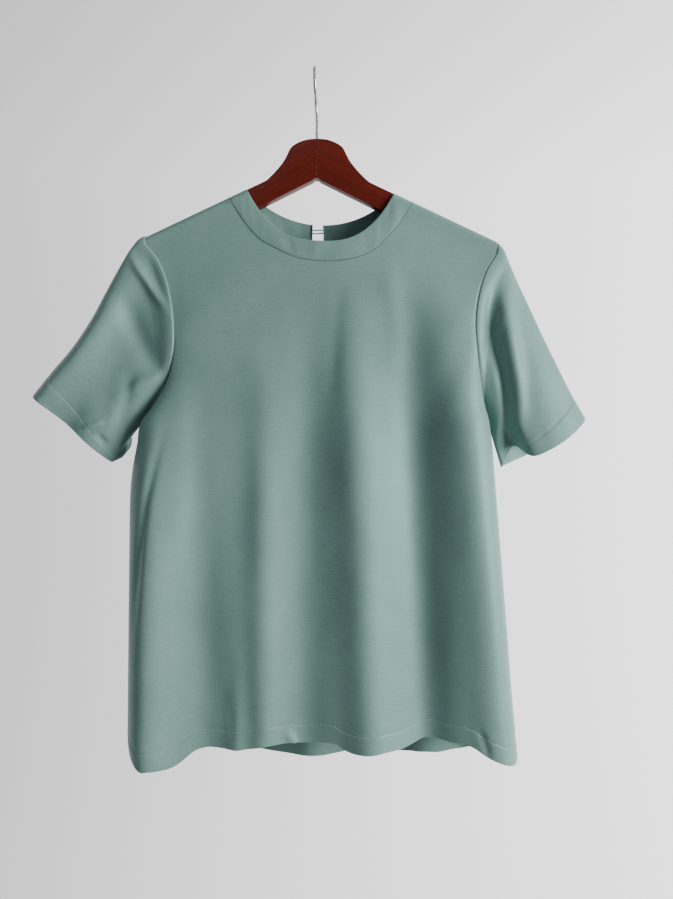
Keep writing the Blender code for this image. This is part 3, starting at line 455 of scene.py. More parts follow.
def fold_lift(side, x, down, hem):
    total = 0.0
    for fold in FOLDS[side]:
        reach = np.clip((down - fold.start_down) / (hem - fold.start_down), 0.0, None)
        centre = mix(fold.start_x, fold.hem_x, reach ** fold.bend)
        grown = ramp(down, fold.start_down, fold.start_down + FOLD_RISE) * mix(FOLD_SHARE, 1.0, reach)
        total = total + fold.lift * grown * np.exp(-((x - centre) / fold.width) ** 2)
    return total


def body_point(side, x_top, turn):
    """Outside of the body: x_top is the column's place at the shoulder line, side is FRONT or BACK."""
    share = column_share(x_top)
    drop = turn_to_drop(turn)
    down = drop - arm_line(x_top)
    x = mix(along(LEFT_EDGE, "x", down), along(RIGHT_EDGE, "x", down), share)
    name = SIDE_NAMES[side]
    edge = mix(along(LEFT_EDGE, name, down), along(RIGHT_EDGE, name, down), share)
    across = np.minimum(np.abs(2.0 * share - 1.0), 1.0)
    gentle = 1.0 - across ** CHEST_FLATNESS
    tube = (1.0 - across ** SIDE_ROUNDNESS) ** (1.0 / SIDE_ROUNDNESS)
    rise = mix(gentle, tube, ramp(down, *SIDES_ROUND))
    full = mix(WRAP_RADIUS, along(FULLNESS, name, down), ramp(drop, 0.0, FULLNESS_RAMP[side]))
    depth = edge + (full - edge) * rise
    depth = depth + fold_lift(side, x, down, along(HEM, name, share)) * tube ** FOLD_AT_SIDE
    over = np.sin(np.minimum(turn, 1.0) * math.pi / 2.0)
    return np.stack([x, side * over * depth, -down], axis=-1)


def seam_start(side, x_top):
    """Turn at which a panel starts: the left shoulder seam swings forward towards the sleeve."""
    return -side * LEFT_SEAM_SWING * ramp(NECK_CENTRE - NECK_HALF_WIDTH - x_top, 0.0, SEAM_SWING_REACH)


def edge_drop(centre, half_width, fall, power, q):
    """Drop of a neck curve below the arm line at q from -1 to 1 across the neck."""
    ends = mix(arm_line(centre - half_width), arm_line(centre + half_width), (q + 1.0) / 2.0)
    height = ends - fall * (1.0 - np.abs(q) ** power)
    return np.maximum(arm_line(centre + half_width * q) - height, 0.0)


def neck_drop(side, q):
    return edge_drop(NECK_CENTRE, NECK_HALF_WIDTH, NECK_DROP[side], NECK_POWER[side], q)


def band_drop(side, q):
    return edge_drop(BAND_TOP_CENTRE, BAND_TOP_HALF_WIDTH, BAND_DROP[side], NECK_POWER[side], q)


def neck_places(side):
    """Places along the neck's seam at the shoulder line; the back has a pair at the slit."""
    half = NECK_COLUMNS // 2
    rising = 1.0 - np.cos(math.pi / 2.0 * np.arange(half + 1) / half)
    low = NECK_CENTRE - NECK_HALF_WIDTH
    high = NECK_CENTRE + NECK_HALF_WIDTH
    gap = SLIT_HALF_WIDTH if side == BACK else 0.0
    centre = SLIT_CENTRE if side == BACK else NECK_CENTRE
    left = mix(low, centre - gap, rising)
    right = mix(high, centre + gap, rising)[::-1]
    return np.concatenate([left, right if side == BACK else right[1:]])


def panel_columns(side):
    """Each column's x at the shoulder line and its starting turn."""
    shoulder = (np.arange(SHOULDER_COLUMNS) / SHOULDER_COLUMNS) ** SHOULDER_SPREAD
    neck_x = neck_places(side)
    q = (neck_x - NECK_CENTRE) / NECK_HALF_WIDTH
    neck_start = drop_to_turn(neck_drop(side, q))
    neck_start[[0, -1]] = seam_start(side, neck_x[[0, -1]])
    left = mix(LEFT_EDGE[0].x, neck_x[0], shoulder)
    right = mix(RIGHT_EDGE[0].x, neck_x[-1], shoulder)[::-1]
    x_top = np.concatenate([left, neck_x, right])
    start = np.concatenate([seam_start(side, left), neck_start, seam_start(side, right)])
    return x_top, start


UNDERARM_ROW = WRAP_ROWS + ARMHOLE_ROWS
HEM_FOLD = 0.9           # radius of a turned edge
SEAM_CURL = 0.7          # radius at which cloth turns in to a seam
ALLOWANCE = 6.0          # cloth behind a seam
HEM_STEP = 0.30          # how far the doubled cloth stands proud
HEM_GROOVE = 0.35        # how deep the stitches pull it in
HEM_GROOVE_HALF_WIDTH = 0.9
HEM_PUCKER = 0.40
HEM_PUCKER_REACH = 9.0
QUARTER_TURN = (30.0, 60.0, 90.0)
HALF_TURN = (30.0, 60.0, 90.0, 120.0, 150.0, 180.0)


def hem_places(depth):
    """Distances above a hem's edge at which rows lie close, about its row of stitches."""
    about = [depth + away for away in (4.0, 2.2, 1.2, 0.6, 0.2, -0.2, -0.6, -1.2, -2.4)]
    below = [share * (depth - 3.0) for share in (0.78, 0.58, 0.40, 0.24, 0.12)]
    return about + below + [HEM_FOLD]


def panel_places(side, x_top, start, depth):
    """Place and turn of every point of a panel: over the arm, down to the underarm and down to the hem."""
    across = 2.0 * np.arange(len(x_top)) / (len(x_top) - 1) - 1.0
    spread = mix(across, np.sin(math.pi / 2.0 * across), 0.5)
    even_x = mix(LEFT_EDGE[0].x, RIGHT_EDGE[0].x, (spread + 1.0) / 2.0)
    step = np.maximum((1.0 - start) / WRAP_ROWS, WRAP_REACH / WRAP_ROWS)
    first = turn_to_drop(start + step * WRAP_ROWS) - arm_line(x_top)
    places = [(x_top, start + step * k) for k in range(WRAP_ROWS)]
    for k in range(ARMHOLE_ROWS + 1):
        share = k / ARMHOLE_ROWS
        x = mix(x_top, even_x, ramp(5.0 + 8.0 * share, 4.0, 13.0))
        down = mix(first, mix(UNDERARM_LEFT, UNDERARM_RIGHT, column_share(x)), share)
        places.append((x, drop_to_turn(down + arm_line(x))))
    across_share = column_share(even_x)
    underarm = mix(UNDERARM_LEFT, UNDERARM_RIGHT, across_share)
    hem = along(HEM, SIDE_NAMES[side], across_share)
    near = hem_places(depth)
    downs = [mix(underarm, hem - near[0], k / SKIRT_ROWS) for k in range(1, SKIRT_ROWS)]
    downs += [hem - away for away in near]
    places += [(even_x, drop_to_turn(down + arm_line(even_x))) for down in downs]
    return np.stack([x for x, _ in places]), np.stack([turn for _, turn in places])


def unit(vectors):
    return vectors / np.maximum(np.linalg.norm(vectors, axis=-1, keepdims=True), 1e-9)


def sheet_normals(points):
    """Directions square to a grid of points, all to the same side of it."""
    return unit(np.cross(np.gradient(points, axis=1), np.gradient(points, axis=0)))


def crease_lift(creases, x, down):
    """Height of small creases: each rises from nothing at one end of its path and fades at the other."""
    total = np.zeros_like(x)
    for crease in creases:
        path = np.array(crease.path)
        lengths = np.linalg.norm(np.diff(path, axis=0), axis=1)
        before = np.concatenate([[0.0], np.cumsum(lengths)])
        nearest = np.full(x.shape, 1e9)
        share = np.zeros_like(x)
        for k, length in enumerate(lengths):
            heading = (path[k + 1] - path[k]) / length
            reach = (x - path[k, 0]) * heading[0] + (down - path[k, 1]) * heading[1]
            reach = np.clip(reach, 0.0, length)
            away = np.hypot(x - path[k, 0] - heading[0] * reach, down - path[k, 1] - heading[1] * reach)
            share = np.where(away < nearest, (before[k] + reach) / before[-1], share)
            nearest = np.minimum(nearest, away)
        window = ramp(share, 0.0, 0.35) * ramp(1.0 - share, 0.0, 0.35)
        total += crease.lift * np.exp(-(nearest / crease.width) ** 2) * window
    return total


def wander(u, v, wave_u, wave_v, seed):
    """Smooth random values from -1 to 1 over a grid, the same on each run."""
    flat = [noise.noise(Vector((a / wave_u, b / wave_v, seed))) for a, b in zip(u.ravel(), v.ravel())]
    return np.array(flat).reshape(u.shape)


def hem_relief(distance, across, depth, seed):
    """Height of a turned hem: the doubled cloth stands proud, its stitches pull it in and pucker it."""
    doubled = HEM_STEP * ramp(depth - distance, -1.2, 1.2)
    groove = -HEM_GROOVE * np.exp(-((distance - depth) / HEM_GROOVE_HALF_WIDTH) ** 2)
    near = np.exp(-((distance - depth) / HEM_PUCKER_REACH) ** 2)
    pucker = wander(across, distance, 13.0, 60.0, seed) * 1.1
    pucker += wander(across, distance, 5.5, 60.0, seed + 3.0) * 0.35
    return doubled + groove + near * pucker * HEM_PUCKER


def cloth_unrest(u, v, seed):
    """The small unevenness of hung cloth."""
    return wander(u, v, 60.0, 110.0, seed) * 1.3 + wander(u, v, 23.0, 34.0, seed + 7.0) * 0.28


def make_way_for_slit(points):
    """Parts the two middle columns of the back at the slit and moves their neighbours aside."""
    middle = points.shape[1] // 2
    pair = (points[:, middle - 1] + points[:, middle]) / 2.0
    rest = (points[:, middle, 0] - points[:, middle - 1, 0]) / 2.0
    down = -pair[:, 2]
    open_half = mix(SLIT_HALF_WIDTH, SLIT_FOOT_HALF_WIDTH, ramp(down, down[0], SLIT_FOOT))
    half = mix(open_half, rest, ramp(down, SLIT_FOOT, SLIT_FOOT + SLIT_CLOSES))
    centre = mix(SLIT_CENTRE, pair[:, 0], ramp(down, SLIT_FOOT, SLIT_FOOT + SLIT_STRAIGHTENS))
    away = points[:, :, 0] - pair[:, :1]
    inside = np.abs(away) < SLIT_REACH
    squeeze = (SLIT_REACH - half) / (SLIT_REACH - rest)
    scaled = half[:, None] + (np.abs(away) - rest[:, None]) * squeeze[:, None]
    fade = ramp(SLIT_REACH - np.abs(away), 0.0, SLIT_REACH)
    shifted = pair[:, :1] + np.sign(away) * scaled + (centre - pair[:, 0])[:, None] * fade
    points[:, :, 0] = np.where(inside, shifted, points[:, :, 0])


@functools.lru_cache(maxsize=None)
def panel(side):
    """Points and outward directions of a whole front or back, before its edges are turned in."""
    depth = bpy.context.scene.top_sizes.hem_depth / MM
    x_top, start = panel_columns(side)
    x, turn = panel_places(side, x_top, start, depth)
    points = body_point(side, x, turn)
    if side == BACK:
        make_way_for_slit(points)
    normals = sheet_normals(points) * side
    down = -points[:, :, 2]
    hem = along(HEM, SIDE_NAMES[side], column_share(x))
    lift = crease_lift(BODY_CREASES[side], points[:, :, 0], down)
    restless = mix(0.25, 1.0, ramp(down, *TAUT_CLOTH))
    lift += cloth_unrest(points[:, :, 0], down, BODY_SEEDS[side]) * restless
    lift += hem_relief(hem - down, points[:, :, 0], depth, BODY_SEEDS[side])
    rows = np.arange(points.shape[0])[:, None]
    columns = np.arange(points.shape[1])[None, :]
    from_side = np.minimum(columns, points.shape[1] - 1 - columns)
    keep = ramp(rows, 1.0, 14.0) * ramp(from_side, 0.0, 8.0)
    near_hem = ramp(hem - down, 40.0, 0.0) * ramp(from_side, 0, 2)
    keep = np.where(rows > UNDERARM_ROW + 20, mix(keep, 1.0, near_hem), keep)
    points = points + normals * (lift * keep)[:, :, None]
    return points, sheet_normals(points) * side


def sleeve_fold_lift(folds, round_share, along_share):
    total = 0.0
    for fold in folds:
        centre = mix(fold.start_round, fold.cuff_round, along_share)
        length = np.exp(-((along_share - fold.middle) / fold.reach) ** 2)
        total = total + fold.lift * length * np.exp(-((round_share - centre) / fold.width) ** 2)
    return total


def sleeve_rings(depth):
    """Shares of the sleeve's length at which its rings lie, close together about the cuff's stitches."""
    near = [1.0 - away / SLEEVE_LENGTH for away in hem_places(depth)]
    head = [away / SLEEVE_LENGTH for away in (0.0, 0.5, 1.0, 1.6, 2.3, 3.1)]
    spread = [(k / SLEEVE_RINGS) ** SLEEVE_RING_SPREAD for k in range(1, SLEEVE_RINGS)]
    return np.array(head + [mix(head[-1], near[0], share) for share in spread] + near)


def either_side(sides, front, back):
    """The front's value where a sleeve's point is in front, and the back's behind."""
    return np.where(sides == FRONT, front, back)


def near_cuff(round_share, place, share, start):
    """How much of a cuff's own form a point has, from 0 at start to 1 at the cuff."""
    centre, width = place
    return np.exp(-((round_share - centre) / width) ** 2) * ramp(share, start, 1.0)


def sleeve_form(hand, depth):
    """Points of a sleeve with its long folds, whether each is in front, and its place round and along."""
    column = FIRST_COLUMN[hand]
    front, back = (panel(side)[0][:UNDERARM_ROW + 1, column] for side in (FRONT, BACK))
    edge = np.concatenate([front, back[-2:0:-1]])[None]
    sides = np.array([FRONT] * len(front) + [BACK] * (len(back) - 2))[None]
    rows = SLEEVE_LINES[hand]
    tip = np.array([rows[0].outer_x, 0.0, arm_line(rows[0].outer_x)])
    underarm = front[-1]
    round_share = np.clip((tip[2] - edge[:, :, 2]) / (tip[2] - underarm[2]), 0.0, 1.0)
    share = sleeve_rings(depth)[:, None]
    sag = either_side(sides, CUFF_SAG[hand][FRONT], CUFF_SAG[hand][BACK])
    sag = sag * np.sin(math.pi * round_share ** 0.8) * ramp(share, 0.55, 1.0)
    under_x = mix(underarm[0], CUFF_UNDER[hand][0], share)
    under_z = mix(underarm[2], -CUFF_UNDER[hand][1], share)
    keep = np.clip(1.0 - share / ARMHOLE_SHAPE_LASTS, 0.0, None) ** 2
    x = mix(along(rows, "outer_x", share), under_x, round_share)
    x = x + keep * (edge[:, :, 0] - mix(tip[0], underarm[0], round_share))
    z = mix(-along(rows, "outer_down", share), under_z, round_share)
    z = z + keep * (edge[:, :, 2] - mix(tip[2], underarm[2], round_share)) - sag
    power = np.where(round_share < 0.5, OUTER_FOLD_POWER[hand], SLEEVE_ROUNDNESS)
    rim = np.clip(1.0 - np.abs(1.0 - 2.0 * round_share) ** power, 0.0, None)
    arch = mix(rim ** (1.0 / SLEEVE_ROUNDNESS), rim, SLEEVE_FLATNESS * ramp(share, 0.0, 0.3))
    buckle = CUFF_BUCKLE[hand] * near_cuff(round_share, BUCKLE_ROUND, share, 0.45)
    buckle = either_side(sides, buckle, 0.0) * ramp(arch, 0.0, 0.3)
    swing = either_side(sides, 0.0, CUFF_SWING[hand] * near_cuff(round_share, SWING_ROUND, share, 0.4))
    full = either_side(sides, along(rows, "front", share), along(rows, "back", share)) * arch
    grown = 1.0 - (1.0 - ramp(share, 0.0, 0.5)) ** 2
    towards = np.where(sides * edge[:, :, 1] >= 0.0, 1.0, -1.0)
    depth_y = mix(sides * edge[:, :, 1], towards * full, grown)
    lift = sleeve_fold_lift(SLEEVE_FOLDS[hand], round_share, share)
    depth_y = depth_y + lift * arch * ramp(share, 0.0, 0.15) * either_side(sides, 1.0, 0.6)
    y = sides * (depth_y - BUCKLE_INWARD * buckle)
    points = np.stack([x + swing, y, z + buckle + SWING_UPWARD * swing], axis=-1)
    points[0] = edge[0]
    return points, sides, round_share, share, arch


@functools.lru_cache(maxsize=None)
def sleeve(hand):
    """Points and outward directions of a sleeve, rings from the armhole to the cuff."""
    depth = bpy.context.scene.top_sizes.cuff_depth / MM
    points, sides, round_share, share, arch = sleeve_form(hand, depth)
    normals = tube_normals(points)
    down = -points[:, :, 2]
    extra = either_side(sides, *(crease_lift(SLEEVE_CREASES[hand, side], points[:, :, 0], down)
                                 for side in (FRONT, BACK)))
    ring = np.cumsum(np.linalg.norm(np.roll(points, -1, axis=1) - points, axis=2), axis=1)
    along_cloth = np.broadcast_to(share * SLEEVE_LENGTH, ring.shape)
    from_cuff = np.broadcast_to((1.0 - share) * SLEEVE_LENGTH, ring.shape)
    extra += cloth_unrest(ring, along_cloth, SLEEVE_SEEDS[hand])
    extra += hem_relief(from_cuff, ring, depth, SLEEVE_SEEDS[hand])
    calm = arch * ramp(share, 0.0, 0.12)
    calm = np.where(share > 0.8, np.maximum(calm, 0.8 * ramp(arch, 0.0, 0.3)), calm)
    head = SLEEVE_HEAD_RISE * ramp(along_cloth, 0.0, 2.2) * ramp(24.0 - along_cloth, 0.0, 20.0)
    points = points + normals * (extra * calm + head * ramp(1.0 - round_share, 0.0, 0.2))[:, :, None]
    return points, tube_normals(points)


def tube_normals(points):
    """Outward unit vectors of a tube's grid of points, rings by rows."""
    ring_step = np.roll(points, -1, axis=1) - np.roll(points, 1, axis=1)
    normals = unit(np.cross(ring_step, np.gradient(points, axis=0)))
    centre = points.mean(axis=1, keepdims=True)
    return normals if np.sum(normals * (points - centre)) > 0.0 else -normals


@functools.lru_cache(maxsize=None)
def band(side):
    """Points and outward directions of a neckband's outside, rows from its seam up to its top edge."""
    neck_x = neck_places(side)
    q = (neck_x - NECK_CENTRE) / NECK_HALF_WIDTH
    top_x = BAND_TOP_CENTRE + BAND_TOP_HALF_WIDTH * q
    seam = drop_to_turn(neck_drop(side, q))
    top = drop_to_turn(band_drop(side, q))
    seam[[0, -1]] = seam_start(side, neck_x[[0, -1]])
    top[[0, -1]] = seam[[0, -1]]
    share = np.linspace(0.0, 1.0, BAND_ROWS + 1)[:, None]
    x_top = mix(neck_x[None], top_x[None], share)
    turn = mix(seam[None], top[None], share)
    points = body_point(side, x_top, turn)
    if side == BACK:
        middle = points.shape[1] // 2
        for column, sign in ((middle - 1, -1.0), (middle, 1.0)):
            points[:, column, 0] = SLIT_CENTRE + sign * (SLIT_HALF_WIDTH - 0.4 * share[:, 0])
    normals = sheet_normals(points) * -side
    ends = ramp(1.0 - np.abs(q), 0.0, 0.12)[None]
    u = points[:, :, 0]
    v = np.broadcast_to(share * 40.0, u.shape)
    waves = wander(u, v, 17.0, 60.0, 12.0 + side) * BAND_WAVES
    waves += wander(u, v, 6.0, 40.0, 17.0 + side) * BAND_PUCKERS
    bulge = BAND_BULGE * np.sin(math.pi * share) ** 0.7
    lift = (bulge + waves * np.sin(math.pi * share) ** 0.6) * ends
    points = points + normals * lift[:, :, None]
    return points, sheet_normals(points) * -side


def curl(edge, out, behind, radius, turns):
    """Rows of cloth round a bend, one for each turn in degrees: outwards from an edge and back behind it."""
    rows = []
    for angle in map(math.radians, turns):
        rows.append(edge + out * radius * math.sin(angle) + behind * radius * (1.0 - math.cos(angle)))
    return rows


def seam_edge(points, shared, behind=ALLOWANCE):
    """A grid whose first row is turned in to a seam: a close row, a small curl and the cloth behind it."""
    step = points[1] - points[0]
    length = np.linalg.norm(step, axis=-1, keepdims=True)
    along_step = step / np.maximum(length, 1e-9)
    edge = points[0] + along_step * np.minimum(SEAM_CURL, 0.3 * length)
    close = points[0] + along_step * np.minimum(SEAM_CURL + 0.9, 0.6 * length)
    out = -along_step
    out = unit(out - shared * np.sum(out * shared, axis=-1, keepdims=True))
    rows = [close, edge] + curl(edge, out, -shared, SEAM_CURL, QUARTER_TURN)
    rows += [rows[-1] - shared * behind * share for share in (0.5, 1.0)]
    return np.concatenate([np.stack(rows[::-1]), points[1:]])


def side_edge(points, first, shared, behind=ALLOWANCE):
    """A grid whose first or last column is turned in to a seam."""
    ordered = points if first else points[:, ::-1]
    turned = seam_edge(ordered.transpose(1, 0, 2), shared, behind).transpose(1, 0, 2)
    return turned if first else turned[:, ::-1]


def folded_hem(points, normals, depth):
    """A grid whose last row is a hem's fold: the cloth goes round it and up behind itself."""
    down = unit(points[-1] - points[-2])
    rows = curl(points[-1], down, -normals[-1], HEM_FOLD, HALF_TURN)
    step = -1
    travelled = 0.0
    while travelled < depth + 1.5:
        travelled += np.linalg.norm(points[step - 1] - points[step], axis=-1).mean()
        step -= 1
        rows.append(points[step] - normals[step] * HEM_FOLD * 2.0)
    return np.concatenate([points, np.stack(rows)])


def colour(code):
    """A colour written as sRGB hex, as the linear values that shaders take."""
    parts = [int(code[i:i + 2], 16) / 255.0 for i in (1, 3, 5)]
    return tuple(p / 12.92 if p <= 0.04045 else ((p + 0.055) / 1.055) ** 2.4 for p in parts) + (1.0,)


def set_up(node, settings=None, links=None):
    """Gives a shader node its properties or unlinked inputs, and links sockets to its other inputs."""
    for key, value in (settings or {}).items():
        if isinstance(key, int) or key in node.inputs:
            node.inputs[key].default_value = value
        else:
            setattr(node, key, value)
    for key, socket in (links or {}).items():
        node.id_data.links.new(socket, node.inputs[key])
    return node


def add_node(tree, kind, settings=None, links=None):
    return set_up(tree.nodes.new(kind), settings, links)


def shift_colour(code, factor):
    """A lighter or darker cast of a hex colour, in linear values."""
    return tuple(min(v * factor, 1.0) for v in colour(code)[:3]) + (1.0,)


def ramp_node(tree, factor, stops):
    """Colour output of a ramp with stops of (place, colour)."""
    node = add_node(tree, "ShaderNodeValToRGB", links={0: factor})
    stops_made = node.color_ramp.elements
    while len(stops_made) < len(stops):
        stops_made.new(0.5)
    for made, (place, value) in zip(stops_made, stops):
        made.position = place
        made.color = value
    return node.outputs["Color"]


def shades(code, *stops):
    """Ramp stops from pairs of (place, factor on a hex colour)."""
    return [(place, shift_colour(code, factor)) for place, factor in stops]


def new_material(name):
    made = bpy.data.materials.new(name)
    made.use_nodes = True
    return made, made.node_tree, made.node_tree.nodes["Principled BSDF"]


def hung_uv(points):
    """Thread coordinates in metres of a hung panel: level across, and down from the shoulder over the arm."""
    down = np.minimum(np.abs(points[:, :, 1]), WRAP_RADIUS) - points[:, :, 2]
    return np.stack([points[:, :, 0], down], axis=-1) * MM


@functools.lru_cache(maxsize=None)
def satin_back_crepe():
    """Woven satin-backed crepe: matt pebbled threads with a soft sheen, brightest towards the light."""
    colours = bpy.context.scene.top_colours
    made, tree, shader = new_material("satin_back_crepe")
    uv = add_node(tree, "ShaderNodeUVMap", {"uv_map": "threads"}).outputs["UV"]
    # Crepe's twisted threads make pebbles of about 0.6 mm, drawn at 1.5 mm so that they show
    pebbles = add_node(tree, "ShaderNodeTexNoise", {"Scale": 1.0 / 0.0015, "Detail": 3.0, "Roughness": 0.65},
                       {"Vector": uv})
    # Weft threads thicken and thin along their length: 14 mm long, a millimetre high
    stretch = add_node(tree, "ShaderNodeMapping", {"Scale": (1.0 / 0.014, 1.0 / 0.0011, 1.0)}, {"Vector": uv})
    slubs = add_node(tree, "ShaderNodeTexNoise", {"Scale": 1.0, "Detail": 2.0},
                     {"Vector": stretch.outputs[0]})
    # Dye and handling leave broad pale and dark areas
    broad = add_node(tree, "ShaderNodeTexNoise", {"Scale": 1.0 / 0.09, "Detail": 2.0}, {"Vector": uv})
    # The twill line of the satin face runs at 60 degrees, 0.4 mm apart, drawn at 1.6 mm
    turned = add_node(tree, "ShaderNodeMapping", {"Rotation": (0.0, 0.0, math.radians(62.0))}, {"Vector": uv})
    twill = add_node(tree, "ShaderNodeTexWave",
                     {"Scale": 2.0 / 0.0016 / 6.2832, "Distortion": 1.5, "Detail": 1.0, "Detail Scale": 1.5},
                     {"Vector": turned.outputs[0]})
    blend = add_node(tree, "ShaderNodeMath", {"operation": "MULTIPLY_ADD", 1: 0.45},
                     {0: slubs.outputs["Fac"], 2: pebbles.outputs["Fac"]})
    blend = add_node(tree, "ShaderNodeMath", {"operation": "MULTIPLY_ADD", 1: 0.35},
                     {0: broad.outputs["Fac"], 2: blend.outputs[0]})
    casts = shades(colours.cloth_hex, (0.62, 0.86), (0.90, 1.0), (0.96, 1.12))
    tone = ramp_node(tree, blend.outputs[0], casts)
    gloss = add_node(tree, "ShaderNodeMapRange",
                     {"From Min": 0.3, "From Max": 0.7, "To Min": 0.40, "To Max": 0.52},
                     {"Value": pebbles.outputs["Fac"]})
    relief = add_node(tree, "ShaderNodeMath", {"operation": "MULTIPLY_ADD", 1: 0.25},
                      {0: twill.outputs["Fac"], 2: pebbles.outputs["Fac"]})
    bump = add_node(tree, "ShaderNodeBump", {"Strength": 0.35, "Distance": 0.00025},
                    {"Height": relief.outputs[0]})
    set_up(shader,
           {"IOR": 1.5, "Specular IOR Level": 0.5, "Specular Tint": colour("#9adccd"), "Sheen Weight": 0.25,
            "Sheen Roughness": 0.35, "Sheen Tint": colour("#9adccd")},
           {"Base Color": tone, "Roughness": gloss.outputs[0], "Normal": bump.outputs[0]})
    return made


@functools.lru_cache(maxsize=None)
def polyester_thread(shaded):
    """Spun sewing thread dyed to the cloth, drawn in a lit and a shaded copy: a lighter colour paints the
    light the stitches catch, a darker one paints the shade deep in a seam.
    """
    colours = bpy.context.scene.top_colours
    made, tree, shader = new_material("polyester_thread_painted_shade" if shaded else "polyester_thread")
    # The lit copy's colour is a painted highlight, the shaded copy's a painted shade
    code = colours.shaded_thread_hex if shaded else colours.highlight_thread_hex
    place = add_node(tree, "ShaderNodeTexCoord").outputs["Object"]
    twist = add_node(tree, "ShaderNodeTexNoise", {"Scale": 1.0 / 0.0008, "Detail": 1.0}, {"Vector": place})
    tone = ramp_node(tree, twist.outputs["Fac"], shades(code, (0.3, 0.8), (0.7, 1.1)))
    set_up(shader, {"Roughness": 0.38}, {"Base Color": tone})
    return made


@functools.lru_cache(maxsize=None)
def varnished_mahogany(hand):
    """Hardwood stained red-brown under satin varnish: long fine grain, dark pores and a clear soft gloss."""
    colours = bpy.context.scene.top_colours
    made, tree, shader = new_material("varnished_mahogany_" + hand)
    place = add_node(tree, "ShaderNodeTexCoord").outputs["Object"]
    lean = math.atan(UNDERSIDE_SLOPE) * HANDS[hand]
    level = add_node(tree, "ShaderNodeMapping", {"Rotation": (0.0, -lean, 0.0)}, {"Vector": place})
    # Growth lines are some 3 mm apart and run the length of the arm
    long = add_node(tree, "ShaderNodeMapping", {"Scale": (1.0 / 0.060, 1.0 / 0.004, 1.0 / 0.003)},
                    {"Vector": level.outputs[0]})
    lines = add_node(tree, "ShaderNodeTexNoise", {"Scale": 1.0, "Detail": 4.0, "Distortion": 0.6},
                     {"Vector": long.outputs[0]})
    # Open pores are 0.2 mm wide and a few millimetres long, drawn 0.6 mm wide
    fine = add_node(tree, "ShaderNodeMapping", {"Scale": (1.0 / 0.007, 1.0 / 0.0006, 1.0 / 0.0006)},
                    {"Vector": level.outputs[0]})
    pores = add_node(tree, "ShaderNodeTexNoise", {"Scale": 1.0, "Detail": 2.0}, {"Vector": fine.outputs[0]})
    casts = shades(colours.wood_hex, (0.30, 0.80), (0.52, 1.0), (0.72, 1.22))
    tone = ramp_node(tree, lines.outputs["Fac"], casts)
    dark = ramp_node(tree, pores.outputs["Fac"], [(0.30, (0.7, 0.7, 0.7, 1.0)), (0.46, (1.0, 1.0, 1.0, 1.0))])
    both = add_node(tree, "ShaderNodeMix", {"data_type": "RGBA", "blend_type": "MULTIPLY", "Factor": 1.0},
                    {6: tone, 7: dark})
    bump = add_node(tree, "ShaderNodeBump", {"Strength": 0.25, "Distance": 0.00015},
                    {"Height": pores.outputs["Fac"]})
    set_up(shader,
           {"Roughness": 0.42, "Specular IOR Level": 0.22, "Coat Weight": 0.06, "Coat Roughness": 0.22},
           {"Base Color": both.outputs[2], "Normal": bump.outputs[0]})
    return made


@functools.lru_cache(maxsize=None)
def plated_steel():
    """Drawn steel wire with bright nickel plating: a mirror slightly dulled by handling."""
    made, tree, shader = new_material("plated_steel")
    place = add_node(tree, "ShaderNodeTexCoord").outputs["Object"]
    rubbed = add_node(tree, "ShaderNodeTexNoise", {"Scale": 1.0 / 0.004, "Detail": 3.0}, {"Vector": place})
    gloss = add_node(tree, "ShaderNodeMapRange",
                     {"From Min": 0.3, "From Max": 0.7, "To Min": 0.16, "To Max": 0.30},
                     {"Value": rubbed.outputs["Fac"]})
    tone = ramp_node(tree, rubbed.outputs["Fac"], [(0.3, colour("#b9b9b6")), (0.7, colour("#d6d6d2"))])
    set_up(shader, {"Metallic": 1.0}, {"Base Color": tone, "Roughness": gloss.outputs[0]})
    return made


@functools.lru_cache(maxsize=None)
def cast_polyester():
    """Cast polyester button, turned and polished: faint pearl clouds under a gloss."""
    colours = bpy.context.scene.top_colours
    made, tree, shader = new_material("cast_polyester")
    place = add_node(tree, "ShaderNodeTexCoord").outputs["Object"]
    clouds = add_node(tree, "ShaderNodeTexNoise", {"Scale": 1.0 / 0.0035, "Detail": 2.0, "Distortion": 1.2},
                      {"Vector": place})
    tone = ramp_node(tree, clouds.outputs["Fac"], shades(colours.button_hex, (0.35, 0.8), (0.65, 1.2)))
    set_up(shader, {"Roughness": 0.22}, {"Base Color": tone})
    return made


@functools.lru_cache(maxsize=None)
def painted_floor():
    """Matt pale studio floor paint, rolled on: barely mottled, with no shine."""
    colours = bpy.context.scene.top_colours
    made, tree, shader = new_material("painted_floor")
    place = add_node(tree, "ShaderNodeTexCoord").outputs["Object"]
    mottle = add_node(tree, "ShaderNodeTexNoise", {"Scale": 1.0 / 0.05, "Detail": 3.0}, {"Vector": place})
    tone = ramp_node(tree, mottle.outputs["Fac"], shades(colours.floor_hex, (0.3, 0.95), (0.7, 1.0)))
    set_up(shader, {"Roughness": 0.85}, {"Base Color": tone})
    return made


def deselect():
    for item in bpy.context.selected_objects:
        item.select_set(False)


def activate(item):
    deselect()
    item.select_set(True)
    bpy.context.view_layer.objects.active = item


def apply_all(item):
    """Applies an object's modifiers in order."""
    activate(item)
    for modifier in list(item.modifiers):
        bpy.ops.object.modifier_apply(modifier=modifier.name)


def smooth(item, degrees=50.0):
    activate(item)
    bpy.ops.object.shade_smooth_by_angle(angle=math.radians(degrees))


def settle(item):
    """Puts an object's place and turn into its mesh."""
    activate(item)
    bpy.ops.object.transform_apply(location=True, rotation=True, scale=True)


def sheet_uv(points):
    """Thread coordinates in metres: across a grid from its middle, and down it from its first row."""
    steps = np.linalg.norm(np.diff(points, axis=1), axis=2)
    across = np.concatenate([np.zeros((len(points), 1)), np.cumsum(steps, axis=1)], axis=1)
    across -= across[:, across.shape[1] // 2][:, None]
    falls = np.linalg.norm(np.diff(points, axis=0), axis=2).mean(axis=1)
    down = np.concatenate([[0.0], np.cumsum(falls)])[:, None] + across * 0.0
    return np.stack([across, down], axis=-1) * MM


